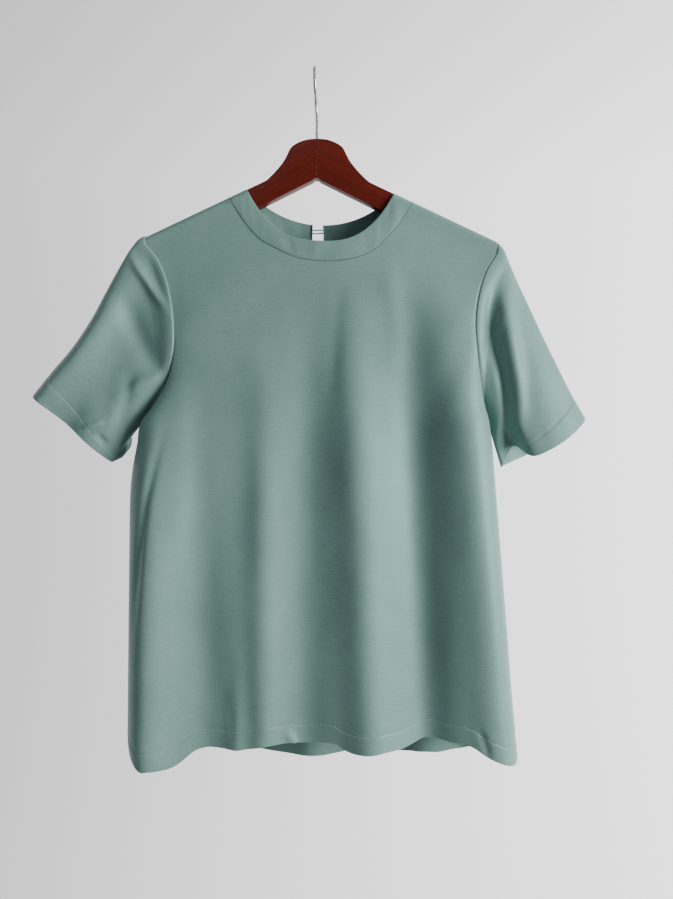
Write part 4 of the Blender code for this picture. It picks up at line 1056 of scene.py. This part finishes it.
def cloth_object(name, sheets, thickness, lay_threads=sheet_uv):
    """One cloth piece from sheets of (points, a cell, its outward direction, around, skipped cells)."""
    vertices = []
    threads = []
    faces = []
    for points, (row, column), outward, around, skipped in sheets:
        base = sum(len(block) for block in vertices)
        rows, columns = points.shape[:2]
        cells = []
        for r in range(rows - 1):
            for c in range(columns if around else columns - 1):
                if (r, c) not in skipped:
                    here, below = r * columns, (r + 1) * columns
                    right = (c + 1) % columns
                    cells.append((here + c, here + right, below + right, below + c))
        flat = points.reshape(-1, 3)
        a, b, d = points[row, column], points[row, column + 1], points[row + 1, column]
        if np.dot(np.cross(b - a, d - a), outward) < 0.0:
            cells = [tuple(reversed(cell)) for cell in cells]
        vertices.append(flat)
        threads.append(lay_threads(points).reshape(-1, 2))
        faces += [tuple(i + base for i in cell) for cell in cells]
    mesh = bpy.data.meshes.new(name)
    mesh.from_pydata((np.concatenate(vertices) * MM).tolist(), [], faces)
    thread_uv = np.concatenate(threads)
    corners = np.empty(len(mesh.loops), dtype=np.int32)
    mesh.loops.foreach_get("vertex_index", corners)
    layer = mesh.uv_layers.new(name="threads")
    layer.data.foreach_set("uv", thread_uv[corners].astype(np.float32).ravel())
    made = bpy.data.objects.new(name, mesh)
    bpy.context.scene.collection.objects.link(made)
    wall = made.modifiers.new("Cloth thickness", "SOLIDIFY")
    wall.thickness = thickness
    wall.offset = -1.0
    wall.use_even_offset = False
    apply_all(made)
    coat(made, satin_back_crepe())
    activate(made)
    bpy.ops.object.shade_smooth()
    return made


def coat(piece, material):
    """Gives a piece its one material."""
    piece.data.materials.clear()
    piece.data.materials.append(material)


def dress(piece, slot, *nodes):
    """Ties a piece to the frame."""
    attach(piece, "root")
    if nodes:
        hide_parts(*nodes)


def seam_direction(side, column):
    """Directions in which the two edges of an armhole and a side seam turn in together."""
    points, normals = panel(side)
    shared = normals[:, column].copy()
    hand = "left" if column == 0 else "right"
    ring = sleeve(hand)[1][0]
    if side == FRONT:
        other = ring[:UNDERARM_ROW + 1]
    else:
        back_rows = ring[UNDERARM_ROW + 1:][::-1]
        other = np.concatenate([ring[:1], back_rows, ring[UNDERARM_ROW:UNDERARM_ROW + 1]])
    shared[:UNDERARM_ROW + 1] = unit(shared[:UNDERARM_ROW + 1] + other)
    outward = np.array([HANDS[hand], 0.0, 0.0])
    shared[UNDERARM_ROW:] = outward
    blend = ramp(np.arange(UNDERARM_ROW + 1), UNDERARM_ROW - 6, UNDERARM_ROW)[:, None]
    shared[:UNDERARM_ROW + 1] = unit(mix(shared[:UNDERARM_ROW + 1], outward, blend))
    return shared


def slit_facing(points, normals):
    """The narrow turned edge round the slit, as one strip down one side and up the other."""
    middle = points.shape[1] // 2
    rows = [r for r in range(len(points)) if -points[r, middle, 2] < SLIT_FOOT - 2.0]
    edge = np.concatenate([points[rows, middle - 1], points[rows[::-1], middle]])
    out = np.concatenate([normals[rows, middle - 1], normals[rows[::-1], middle]])
    away = np.repeat([[-1.0, 0.0, 0.0], [1.0, 0.0, 0.0]], len(rows), axis=0)
    start = edge + away * 0.4 + out * 0.05
    strip = [start] + curl(edge, -away, -out, HEM_FOLD, (45.0, 90.0, 135.0, 180.0))
    strip += [edge + away * distance - out * HEM_FOLD * 2.0 for distance in SLIT_FACING]
    return np.stack(strip)


def build_panel(side, name, node):
    """A front or back with its edges turned in to the seams and its hem turned up."""
    sizes = bpy.context.scene.top_sizes
    points, normals = panel(side)
    grown = folded_hem(points, normals, sizes.hem_depth / MM)
    rows = grown.shape[0]
    for column in (0, -1):
        shared = seam_direction(side, column)
        tail = np.repeat(shared[-1:], rows - len(shared), axis=0)
        grown = side_edge(grown, column == 0, np.concatenate([shared, tail]))
    added = (grown.shape[1] - points.shape[1]) // 2
    top_normals = np.concatenate([np.repeat(normals[:1, :1], added, axis=1), normals[:1],
                                  np.repeat(normals[:1, -1:], added, axis=1)], axis=1)[0]
    grown = seam_edge(grown, top_normals)
    skipped = set()
    sheets = []
    if side == BACK:
        middle = grown.shape[1] // 2 - 1
        open_rows = np.nonzero(-grown[1:, middle, 2] < SLIT_FOOT)[0]
        skipped = {(int(r), middle) for r in open_rows}
        strip = slit_facing(points, normals)
        sheets.append((strip, (0, 5), np.array([0.0, 1.0, 0.0]), False, set()))
    cell = (grown.shape[0] // 2, grown.shape[1] // 4)
    sheets.insert(0, (grown, cell, np.array([0.0, float(side), 0.0]), False, skipped))
    made = cloth_object(name, sheets, sizes.cloth_thickness, hung_uv)
    dress(made, "cloth", node)
    return made


def build_sleeve(hand):
    """A sleeve with its armhole edge turned in and its cuff turned up."""
    sizes = bpy.context.scene.top_sizes
    points, normals = sleeve(hand)
    grown = folded_hem(points, normals, sizes.cuff_depth / MM)
    front, back = (seam_direction(side, FIRST_COLUMN[hand])[:UNDERARM_ROW + 1] for side in (FRONT, BACK))
    grown = seam_edge(grown, np.concatenate([front, back[-2:0:-1]]))
    cell = (SLEEVE_RINGS // 2, UNDERARM_ROW // 2)
    sheets = [(grown, cell, normals[cell], True, set())]
    made = cloth_object("sleeve_cloth_" + hand, sheets, sizes.cloth_thickness)
    dress(made, "cloth", "sleeve_" + hand)
    return made


def build_band(side, name, node, columns):
    """A stretch of doubled neckband: outside, fold along the top edge and inside."""
    sizes = bpy.context.scene.top_sizes
    points, normals = band(side)
    points, normals = points[:, columns], normals[:, columns]
    top = points.copy()
    up = unit(top[-1] - top[-2])
    top[-1] -= up * HEM_FOLD
    rows = curl(top[-1], up, -normals[-1], HEM_FOLD, HALF_TURN)
    inside = [top[r] - normals[r] * HEM_FOLD * 2.0 for r in range(len(top) - 2, -1, -1)]
    grown = np.concatenate([top, np.stack(rows), np.stack(inside)])
    grown = seam_edge(grown, normals[0])
    start_rows = grown.shape[0] - len(top) - len(rows) - len(inside)
    depth_out = np.concatenate([np.repeat(normals[:1], start_rows, axis=0), normals,
                                np.repeat(normals[-1:], len(rows), axis=0), normals[-2::-1]])
    for column in (0, -1):
        grown = side_edge(grown, column == 0, depth_out[:, column], HEM_FOLD)
        extra = grown.shape[1] - depth_out.shape[1]
        widths = (extra, 0) if column == 0 else (0, extra)
        depth_out = np.pad(depth_out, ((0, 0), widths, (0, 0)), mode="edge")
    cell = (start_rows + 3, grown.shape[1] // 2)
    made = cloth_object(name, [(grown, cell, depth_out[cell], False, set())], sizes.cloth_thickness)
    dress(made, "cloth", node)
    return made


def read_off(length, line, at):
    """Point or direction at a distance along a line of them."""
    return np.array([np.interp(at, length, line[:, i]) for i in range(3)])


def build_stitches(name, lines, shaded=False):
    """Rows of short raised threads along lines of (points, outward directions)."""
    sizes = bpy.context.scene.top_sizes
    pitch = sizes.stitch_length / MM
    radius = sizes.thread_thickness / MM / 2.0
    deselect()
    bpy.ops.mesh.primitive_uv_sphere_add(segments=6, ring_count=4, radius=1.0)
    pattern = bpy.context.object
    bpy.ops.object.mode_set(mode="EDIT")
    bpy.ops.mesh.select_all(action="SELECT")
    bpy.ops.transform.resize(value=(radius, radius, pitch * 0.39))
    bpy.ops.object.mode_set(mode="OBJECT")
    shape = np.array([tuple(v.co) for v in pattern.data.vertices])
    shape_faces = [tuple(f.vertices) for f in pattern.data.polygons]
    bpy.data.objects.remove(pattern, do_unlink=True)
    vertices = []
    faces = []
    for line, out in lines:
        steps = np.linalg.norm(np.diff(line, axis=0), axis=1)
        length = np.concatenate([[0.0], np.cumsum(steps)])
        for k in range(int(length[-1] / pitch)):
            middle = (k + 0.5) * pitch
            before, after = (read_off(length, line, middle + away) for away in (-0.4, 0.4))
            place = (before + after) / 2.0
            normal = unit(read_off(length, out, middle))
            heading = unit(after - before)
            axes = np.stack([np.cross(normal, heading), normal, heading])
            base = len(vertices) * len(shape)
            vertices.append(shape @ axes + place + normal * radius * 0.7)
            faces += [tuple(i + base for i in face) for face in shape_faces]
    mesh = bpy.data.meshes.new(name)
    mesh.from_pydata((np.concatenate(vertices) * MM).tolist(), [], faces)
    made = bpy.data.objects.new(name, mesh)
    bpy.context.scene.collection.objects.link(made)
    # A shaded row takes the thread painted dark for the shade in a seam, the others the thread painted light
    # for a highlight
    made.data.materials.append(polyester_thread(shaded))
    activate(made)
    bpy.ops.object.shade_smooth()
    dress(made, "cloth")
    return made


def stitched_row(points, depth):
    """Row of a grid that lies in its hem's groove."""
    near = np.array(hem_places(depth))
    return len(points) - len(near) + int(np.argmin(np.abs(near - depth)))


def wood_top(x):
    """Top of the hanger at a place along it."""
    straight = float(arm_line(x)) - ARM_UNDER_CLOTH
    if abs(x) >= CROWN[-1].out:
        return straight
    return max(float(along(CROWN, "height", abs(x))), straight)


def arm_sections(hand):
    """Distances from the middle at which the arm is drawn, closer together at the crown and the tip."""
    end = ARM_END[hand]
    crown = [JOINT_HALF_GAP + k * ARM_STEP for k in range(39)]
    body = [crown[-1] + (end - ARM_TIP - crown[-1]) * k / 20 for k in range(1, 21)]
    tip = [end - ARM_TIP * (1.0 - math.sin(math.pi / 2.0 * k / 6)) for k in range(1, 6)]
    return crown + body + tip + [end - 0.3]


def arm_section(hand, out):
    """Top, bottom and half thickness of the arm at a distance from the middle."""
    top = wood_top(HANDS[hand] * out)
    bottom = UNDERSIDE_APEX - UNDERSIDE_SLOPE * out
    into_tip = max(out - (ARM_END[hand] - ARM_TIP), 0.0) / ARM_TIP
    shrink = 1.0 - math.sqrt(max(1.0 - into_tip ** 2, 0.0))
    middle = (top + bottom) / 2.0
    half = ARM_THICK / 2.0 * (1.0 - 0.5 * shrink)
    return mix(top, middle, 0.9 * shrink), mix(bottom, middle, 0.9 * shrink), half


def build_arm(hand):
    """One half of the hanger: a block at the joint, extruded outwards by sections, its edges rounded."""
    side = HANDS[hand]
    outs = arm_sections(hand)
    top, bottom, half = arm_section(hand, outs[0])
    first = outs[1] - outs[0]
    deselect()
    bpy.ops.mesh.primitive_cube_add(size=1.0, location=(0.0, 0.0, 0.0))
    made = bpy.context.object
    made.name = "wooden_arm_" + hand
    bpy.ops.object.mode_set(mode="EDIT")
    bpy.ops.mesh.select_all(action="SELECT")
    bpy.ops.transform.resize(value=(first * MM, half * 2.0 * MM, (top - bottom) * MM))
    middle_x = side * (outs[0] + first / 2.0)
    bpy.ops.transform.translate(value=(middle_x * MM, 0.0, (top + bottom) / 2.0 * MM))
    bpy.ops.object.mode_set(mode="OBJECT")
    for polygon in made.data.polygons:
        polygon.select = polygon.normal.x * side > 0.9
    for edge in made.data.edges:
        edge.select = False
    for vertex in made.data.vertices:
        vertex.select = (vertex.co.x - middle_x * MM) * side > 0.0
    bpy.ops.object.mode_set(mode="EDIT")
    bpy.ops.mesh.select_mode(type="FACE")
    section = (top, bottom, half)
    for previous, out in zip(outs[1:-1], outs[2:]):
        new = arm_section(hand, out)
        centre = ((new[0] + new[1]) - (section[0] + section[1])) / 2.0
        shift = (side * (out - previous) * MM, 0.0, centre * MM)
        bpy.ops.mesh.extrude_region_move(TRANSFORM_OT_translate={"value": shift})
        pivot = (side * out * MM, 0.0, (new[0] + new[1]) / 2.0 * MM)
        scale = (1.0, new[2] / section[2], (new[0] - new[1]) / (section[0] - section[1]))
        bpy.ops.transform.resize(value=scale, center_override=pivot)
        section = new
    bpy.ops.object.mode_set(mode="OBJECT")
    activate(made)
    bpy.ops.mesh.primitive_cylinder_add(vertices=32, radius=SOCKET_RADIUS * MM, depth=SOCKET_DEPTH * MM,
                                        location=(0.0, 0.0, SOCKET_MIDDLE * MM))
    drill = bpy.context.object
    rounded = made.modifiers.new("Rounded edges", "BEVEL")
    rounded.width = ARM_EDGE_ROUNDING * MM
    rounded.segments = 4
    rounded.limit_method = "ANGLE"
    rounded.angle_limit = math.radians(40.0)
    socket = made.modifiers.new("Socket", "BOOLEAN")
    socket.operation = "DIFFERENCE"
    socket.object = drill
    apply_all(made)
    bpy.data.objects.remove(drill, do_unlink=True)
    smooth(made, 35.0)
    coat(made, varnished_mahogany(hand))
    dress(made, "wood", "hanger_arm_" + hand)
    return made


def hook_path():
    """Centre line of the wire: up from the wood, forward, over the top and down behind to the tip."""
    centre_z = WIRE / 2.0 - HOOK_RADIUS
    path = [(0.0, 0.0, mix(HOOK_FOOT, HOOK_STEM_TOP, k / 12)) for k in range(12)]
    start = math.radians(HOOK_START)
    finish = math.radians(HOOK_FINISH)
    meet = np.array([0.0, HOOK_RADIUS * math.sin(start), centre_z + HOOK_RADIUS * math.cos(start)])
    heading = np.array([0.0, math.cos(start), -math.sin(start)])
    stem = np.array([0.0, 0.0, HOOK_STEM_TOP])
    controls = [stem, stem + np.array([0.0, 0.0, 9.0]), meet - heading * 8.0, meet]
    for k in range(16):
        u = k / 16
        weights = ((1 - u) ** 3, 3 * u * (1 - u) ** 2, 3 * u * u * (1 - u), u ** 3)
        path.append(tuple(sum(w * c for w, c in zip(weights, controls))))
    for k in range(70):
        angle = mix(start, finish, k / 69)
        path.append((0.0, HOOK_RADIUS * math.sin(angle), centre_z + HOOK_RADIUS * math.cos(angle)))
    return [(HOOK_LEAN * float(ramp(z, -62.0, -12.0)), y, z) for _, y, z in path]


def rod(name, path, radius, rounded_tip=True):
    """A round rod along a path, drawn as a bevelled curve; its last points narrow to a rounded tip."""
    deselect()
    bpy.ops.curve.primitive_nurbs_path_add()
    made = bpy.context.object
    made.name = name
    drawn = made.data
    drawn.splines.clear()
    line = drawn.splines.new("POLY")
    line.points.add(len(path) - 1)
    for point, place in zip(line.points, path):
        point.co = (place[0] * MM, place[1] * MM, place[2] * MM, 1.0)
    if rounded_tip:
        for back, share in ((1, 0.35), (2, 0.75), (3, 0.93)):
            line.points[-back].radius = share
    drawn.bevel_depth = radius * MM
    drawn.bevel_resolution = 6
    drawn.use_fill_caps = True
    activate(made)
    bpy.ops.object.convert(target="MESH")
    made = bpy.context.object
    bpy.ops.object.mode_set(mode="EDIT")
    bpy.ops.mesh.select_all(action="SELECT")
    bpy.ops.mesh.normals_make_consistent(inside=False)
    bpy.ops.object.mode_set(mode="OBJECT")
    smooth(made, 50.0)
    return made


def with_tip(path, radius):
    """A path with three close points at its end, for a rounded tip."""
    last = np.array(path[-1])
    heading = unit(last - np.array(path[-2]))
    return list(path) + [tuple(last + heading * radius * share) for share in (0.45, 0.8, 1.0)]


def closure_frame():
    """Point, outward, sideways and upward directions on the back band at the button."""
    x = SLIT_CENTRE - SLIT_HALF_WIDTH - BUTTON_FROM_EDGE
    turn = drop_to_turn(band_drop(BACK, 0.0) + LOOP_DOWN)
    point = body_point(BACK, x, turn)
    across = body_point(BACK, x + 0.5, turn) - body_point(BACK, x - 0.5, turn)
    downward = body_point(BACK, x, turn + 0.02) - body_point(BACK, x, turn - 0.02)
    outward = unit(np.cross(across, downward) * BACK)
    sideways = unit(np.array([1.0, 0.0, 0.0]) - outward * outward[0])
    return point, outward, sideways, np.cross(sideways, outward)


def build_button():
    """A small domed button on a shank, turned from a disc: dished face, rounded rim."""
    point, outward, sideways, upward = closure_frame()
    deselect()
    bpy.ops.mesh.primitive_cylinder_add(vertices=40, radius=BUTTON_RADIUS * MM, depth=BUTTON_THICK * MM)
    made = bpy.context.object
    made.name = "polished_button"
    mesh = made.data
    for part in (mesh.polygons, mesh.edges, mesh.vertices):
        for item in part:
            item.select = False
    for polygon in mesh.polygons:
        polygon.select = polygon.normal.z > 0.9
    bpy.ops.object.mode_set(mode="EDIT")
    bpy.ops.mesh.select_mode(type="FACE")
    bpy.ops.mesh.inset(thickness=BUTTON_RIM * MM, depth=0.0)
    bpy.ops.mesh.inset(thickness=0.5 * MM, depth=-BUTTON_DISH * MM)
    bpy.ops.object.mode_set(mode="OBJECT")
    for polygon in mesh.polygons:
        polygon.select = polygon.normal.z < -0.9
    bpy.ops.object.mode_set(mode="EDIT")
    bpy.ops.mesh.inset(thickness=(BUTTON_RADIUS - SHANK_RADIUS) * MM, depth=0.0)
    bpy.ops.mesh.extrude_region_move(TRANSFORM_OT_translate={"value": (0.0, 0.0, -SHANK_LENGTH * MM)})
    bpy.ops.object.mode_set(mode="OBJECT")
    rim = made.modifiers.new("Rounded rim", "BEVEL")
    rim.width = BUTTON_ROUNDING * MM
    rim.segments = 3
    rim.limit_method = "ANGLE"
    apply_all(made)
    turn = Matrix((sideways, upward, outward)).transposed().to_4x4()
    made.matrix_world = Matrix.Translation(Vector((point + outward * BUTTON_LIFT) * MM)) @ turn
    settle(made)
    smooth(made, 40.0)
    coat(made, cast_polyester())
    dress(made, "button", "back_button")
    return made


def build_loop():
    """A thin rolled-cloth loop: out from the right of the slit, round the button's shank and back."""
    point, outward, sideways, upward = closure_frame()
    reach = 2.0 * SLIT_HALF_WIDTH + BUTTON_FROM_EDGE + LOOP_ROOT
    shares = [k / 14 for k in range(15)]
    angles = [math.pi / 2.0 + math.pi * k / 16 for k in range(1, 16)]
    path = [(reach * (1.0 - share), LOOP_BEND + 0.7 * math.sin(math.pi * share) * (1.0 - share), 0.2 * share)
            for share in shares]
    path += [(LOOP_BEND * math.cos(angle), LOOP_BEND * math.sin(angle), 0.2) for angle in angles]
    path += [(reach * share, 1.6 * share - LOOP_BEND, 0.2 * (1.0 - share)) for share in shares]
    places = [point + outward * (LOOP_LIFT + c) + sideways * a + upward * b for a, b, c in path]
    made = rod("rolled_loop", places, LOOP_RADIUS, rounded_tip=False)
    layer = made.data.uv_layers.active or made.data.uv_layers.new(name="threads")
    layer.name = "threads"
    for corner in made.data.loops:
        place = made.data.vertices[corner.vertex_index].co
        layer.data[corner.index].uv = (place.x, place.z * 2.0)
    coat(made, satin_back_crepe())
    dress(made, "cloth", "button_loop")
    return made


class TopSizes(bpy.types.PropertyGroup):
    """Sizes of the cloth's small parts."""
    cloth_thickness: bpy.props.FloatProperty(
        name="Cloth thickness", description="One layer of the woven cloth",
        default=0.0006, min=0.0002, max=0.001, unit="LENGTH")
    hem_depth: bpy.props.FloatProperty(
        name="Hem depth", description="Height of the body's hem",
        default=0.020, min=0.01, max=0.04, unit="LENGTH")
    cuff_depth: bpy.props.FloatProperty(
        name="Cuff hem depth", description="Height of the sleeves' hems",
        default=0.022, min=0.01, max=0.04, unit="LENGTH")
    stitch_length: bpy.props.FloatProperty(
        name="Stitch length", description="From one needle hole to the next",
        default=0.0030, min=0.002, max=0.005, unit="LENGTH")
    thread_thickness: bpy.props.FloatProperty(
        name="Thread thickness", description="Sewing thread, drawn a little thick so that it shows",
        default=0.0006, min=0.0002, max=0.001, unit="LENGTH")
    hook_wire: bpy.props.FloatProperty(
        name="Hook wire", description="Diameter of the hook's wire",
        default=WIRE * MM, min=0.002, max=0.005, unit="LENGTH")
    floor_radius: bpy.props.FloatProperty(
        name="Floor radius", description="Radius of the studio floor",
        default=0.9, min=0.5, max=3.0, unit="LENGTH")


class TopColours(bpy.types.PropertyGroup):
    """Colours as sRGB hex."""
    cloth_hex: bpy.props.StringProperty(
        name="Cloth", description="Sage green of the cloth", default="#6b8985")
    # Painted highlight: the thread is drawn lighter than the cloth it is dyed to, for the light its stitches
    # catch
    highlight_thread_hex: bpy.props.StringProperty(
        name="Thread", description="Sewing thread", default="#a3b6b0")
    # Painted shade: thread drawn dark for the shade deep in the neck seam
    shaded_thread_hex: bpy.props.StringProperty(
        name="Sunk thread", description="Thread deep in a seam", default="#3c4b47")
    wood_hex: bpy.props.StringProperty(
        name="Wood", description="Stained wood under varnish", default="#541306")
    button_hex: bpy.props.StringProperty(
        name="Button", description="Button dyed to the cloth", default="#93a7a1")
    floor_hex: bpy.props.StringProperty(
        name="Floor", description="Pale floor paint", default="#dcdcda")


class TOP_OT_body(bpy.types.Operator):
    """Front and back with turned hems"""
    bl_idname = "top.body"
    bl_label = "Body"

    def execute(self, context):
        build_panel(FRONT, "front_cloth", "front_panel")
        build_panel(BACK, "back_cloth", "back_panel")
        return {"FINISHED"}


class TOP_OT_sleeves(bpy.types.Operator):
    """Set-in short sleeves with turned cuffs"""
    bl_idname = "top.sleeves"
    bl_label = "Sleeves"

    def execute(self, context):
        build_sleeve("left")
        build_sleeve("right")
        return {"FINISHED"}


class TOP_OT_neckband(bpy.types.Operator):
    """Wide doubled neckband in three stretches"""
    bl_idname = "top.neckband"
    bl_label = "Neckband"

    def execute(self, context):
        middle = NECK_COLUMNS // 2
        whole = slice(0, NECK_COLUMNS + 1)
        left = slice(0, middle + 1)
        right = slice(middle + 1, 2 * middle + 2)
        build_band(FRONT, "band_front", "neckband_front", whole)
        build_band(BACK, "band_back_left", "neckband_back_left", left)
        build_band(BACK, "band_back_right", "neckband_back_right", right)
        return {"FINISHED"}


class TOP_OT_closure(bpy.types.Operator):
    """Button and loop behind the neck"""
    bl_idname = "top.closure"
    bl_label = "Closure"

    def execute(self, context):
        build_button()
        build_loop()
        return {"FINISHED"}


class TOP_OT_stitching(bpy.types.Operator):
    """Rows of stitches along hems, cuffs and neckband"""
    bl_idname = "top.stitching"
    bl_label = "Stitching"

    def execute(self, context):
        sizes = context.scene.top_sizes
        for side in (FRONT, BACK):
            points, normals = panel(side)
            row = stitched_row(points, sizes.hem_depth / MM)
            build_stitches("hem_stitches_" + SIDE_NAMES[side], [(points[row, 2:-2], normals[row, 2:-2])])
        for hand in HANDS:
            points, normals = sleeve(hand)
            row = stitched_row(points, sizes.cuff_depth / MM)
            ring = np.concatenate([points[row], points[row, :1]])
            out = np.concatenate([normals[row], normals[row, :1]])
            build_stitches("cuff_stitches_" + hand, [(ring, out)])
        for side in (FRONT, BACK):
            points, normals = panel(side)
            columns = slice(SHOULDER_COLUMNS, points.shape[1] - SHOULDER_COLUMNS)
            line = points[0, columns] + unit(points[1, columns] - points[0, columns]) * SEAM_CURL
            out = normals[0, columns]
            cut = len(line) // 2 if side == BACK else len(line)
            rows = [(line[part], out[part]) for part in (slice(0, cut), slice(cut, None)) if len(line[part])]
            # The neck's stitches take the thread painted dark, for the shade in the seam
            build_stitches("neck_stitches_" + SIDE_NAMES[side], rows, shaded=True)
        return {"FINISHED"}


class TOP_OT_hanger(bpy.types.Operator):
    """Wooden arms and wire hook"""
    bl_idname = "top.hanger"
    bl_label = "Hanger"

    def execute(self, context):
        for hand in HANDS:
            build_arm(hand)
        radius = context.scene.top_sizes.hook_wire / MM / 2.0
        hook = rod("wire_hook", with_tip(hook_path(), radius), radius)
        coat(hook, plated_steel())
        dress(hook, "steel", "hook")
        return {"FINISHED"}


def soft_light(name, place, target, size, power, tint):
    """A large soft lamp that faces a point."""
    lamp = bpy.data.lights.new(name, "AREA")
    lamp.shape = "RECTANGLE"
    lamp.size, lamp.size_y = size
    lamp.energy = power
    lamp.color = colour(tint)[:3]
    made = bpy.data.objects.new(name, lamp)
    bpy.context.scene.collection.objects.link(made)
    heading = Vector(target) - Vector(place)
    turn = heading.to_track_quat("-Z", "Y").to_matrix().to_4x4()
    made.matrix_world = Matrix.Translation(Vector(place)) @ turn
    return made


def pale_room():
    """Surroundings: a pale wall behind the top, brighter to the right, and a dim room behind the viewer."""
    world = bpy.data.worlds.new("pale_room")
    world.use_nodes = True
    tree = world.node_tree
    heading = add_node(tree, "ShaderNodeTexCoord").outputs["Generated"]
    parts = add_node(tree, "ShaderNodeSeparateXYZ", links={0: heading})
    across = add_node(tree, "ShaderNodeMapRange", {"From Min": -0.4, "From Max": 0.4},
                      {"Value": parts.outputs["X"]})
    wall = ramp_node(tree, across.outputs[0], [(0.0, colour("#b4b3b4")), (1.0, colour("#ffffff"))])
    behind = add_node(tree, "ShaderNodeMapRange", {"From Min": -0.25, "From Max": 0.35},
                      {"Value": parts.outputs["Y"]})
    tone = add_node(tree, "ShaderNodeMix", {"data_type": "RGBA", 6: colour("#474849")},
                    {"Factor": behind.outputs[0], 7: wall})
    above = add_node(tree, "ShaderNodeMapRange",
                     {"From Min": 0.35, "From Max": 0.9, "To Min": 1.0, "To Max": 0.35},
                     {"Value": parts.outputs["Z"]})
    shade = add_node(tree, "ShaderNodeVectorMath", {"operation": "SCALE"},
                     {0: tone.outputs[2], "Scale": above.outputs[0]})
    set_up(tree.nodes["Background"], {"Strength": 2.4}, {"Color": shade.outputs[0]})
    return world


class TOP_OT_stage(bpy.types.Operator):
    """Floor, soft studio light, pale surroundings and camera"""
    bl_idname = "top.stage"
    bl_label = "Stage"

    def execute(self, context):
        deselect()
        bpy.ops.mesh.primitive_circle_add(vertices=96, radius=context.scene.top_sizes.floor_radius,
                                          fill_type="NGON", location=(0.0, 0.0, FLOOR_HEIGHT))
        floor = context.object
        floor.name = "studio_floor"
        settle(floor)
        floor.data.materials.append(painted_floor())
        soft_light("window_light", place=(2.9, -1.55, -0.15), target=(0.0, 0.0, -0.5), size=(1.6, 2.0),
                   power=228.0, tint="#fffcf8")
        soft_light("ceiling_light", place=(-0.8, -1.5, 1.7), target=(0.0, 0.0, -0.4), size=(2.0, 2.0),
                   power=14.0, tint="#f6f9ff")
        context.scene.world = pale_room()
        lens = bpy.data.cameras.new("camera")
        lens.lens = CAMERA_LENS
        lens.sensor_width = 36.0
        camera = bpy.data.objects.new("camera", lens)
        context.scene.collection.objects.link(camera)
        camera.matrix_world = Matrix.Translation(CAMERA_PLACE) @ Matrix.Rotation(math.pi / 2.0, 4, "X")
        context.scene.camera = camera
        return {"FINISHED"}


class TOP_PT_panel(bpy.types.Panel):
    """Lists the top's pieces, sizes and colours"""
    bl_idname = "TOP_PT_panel"
    bl_label = "Round-neck top"
    bl_space_type = "VIEW_3D"
    bl_region_type = "UI"
    bl_category = "Top"

    def draw(self, context):
        for group in (context.scene.top_sizes, context.scene.top_colours):
            for name in group.__annotations__:
                self.layout.prop(group, name)
        for name in ("hanger", "stitching", "body", "sleeves", "neckband", "closure", "stage"):
            self.layout.operator("top." + name)


def register():
    for item in register_order():
        bpy.utils.register_class(item)
    bpy.types.Scene.top_sizes = bpy.props.PointerProperty(type=TopSizes)
    bpy.types.Scene.top_colours = bpy.props.PointerProperty(type=TopColours)


def unregister():
    del bpy.types.Scene.top_colours
    del bpy.types.Scene.top_sizes
    for item in reversed(register_order()):
        bpy.utils.unregister_class(item)


def main():
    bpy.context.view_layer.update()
    register()
    bpy.ops.top.hanger()
    bpy.ops.top.stitching()
    bpy.ops.top.body()
    bpy.ops.top.sleeves()
    bpy.ops.top.neckband()
    bpy.ops.top.closure()
    bpy.ops.top.stage()


if __name__ == "__main__":
    main()
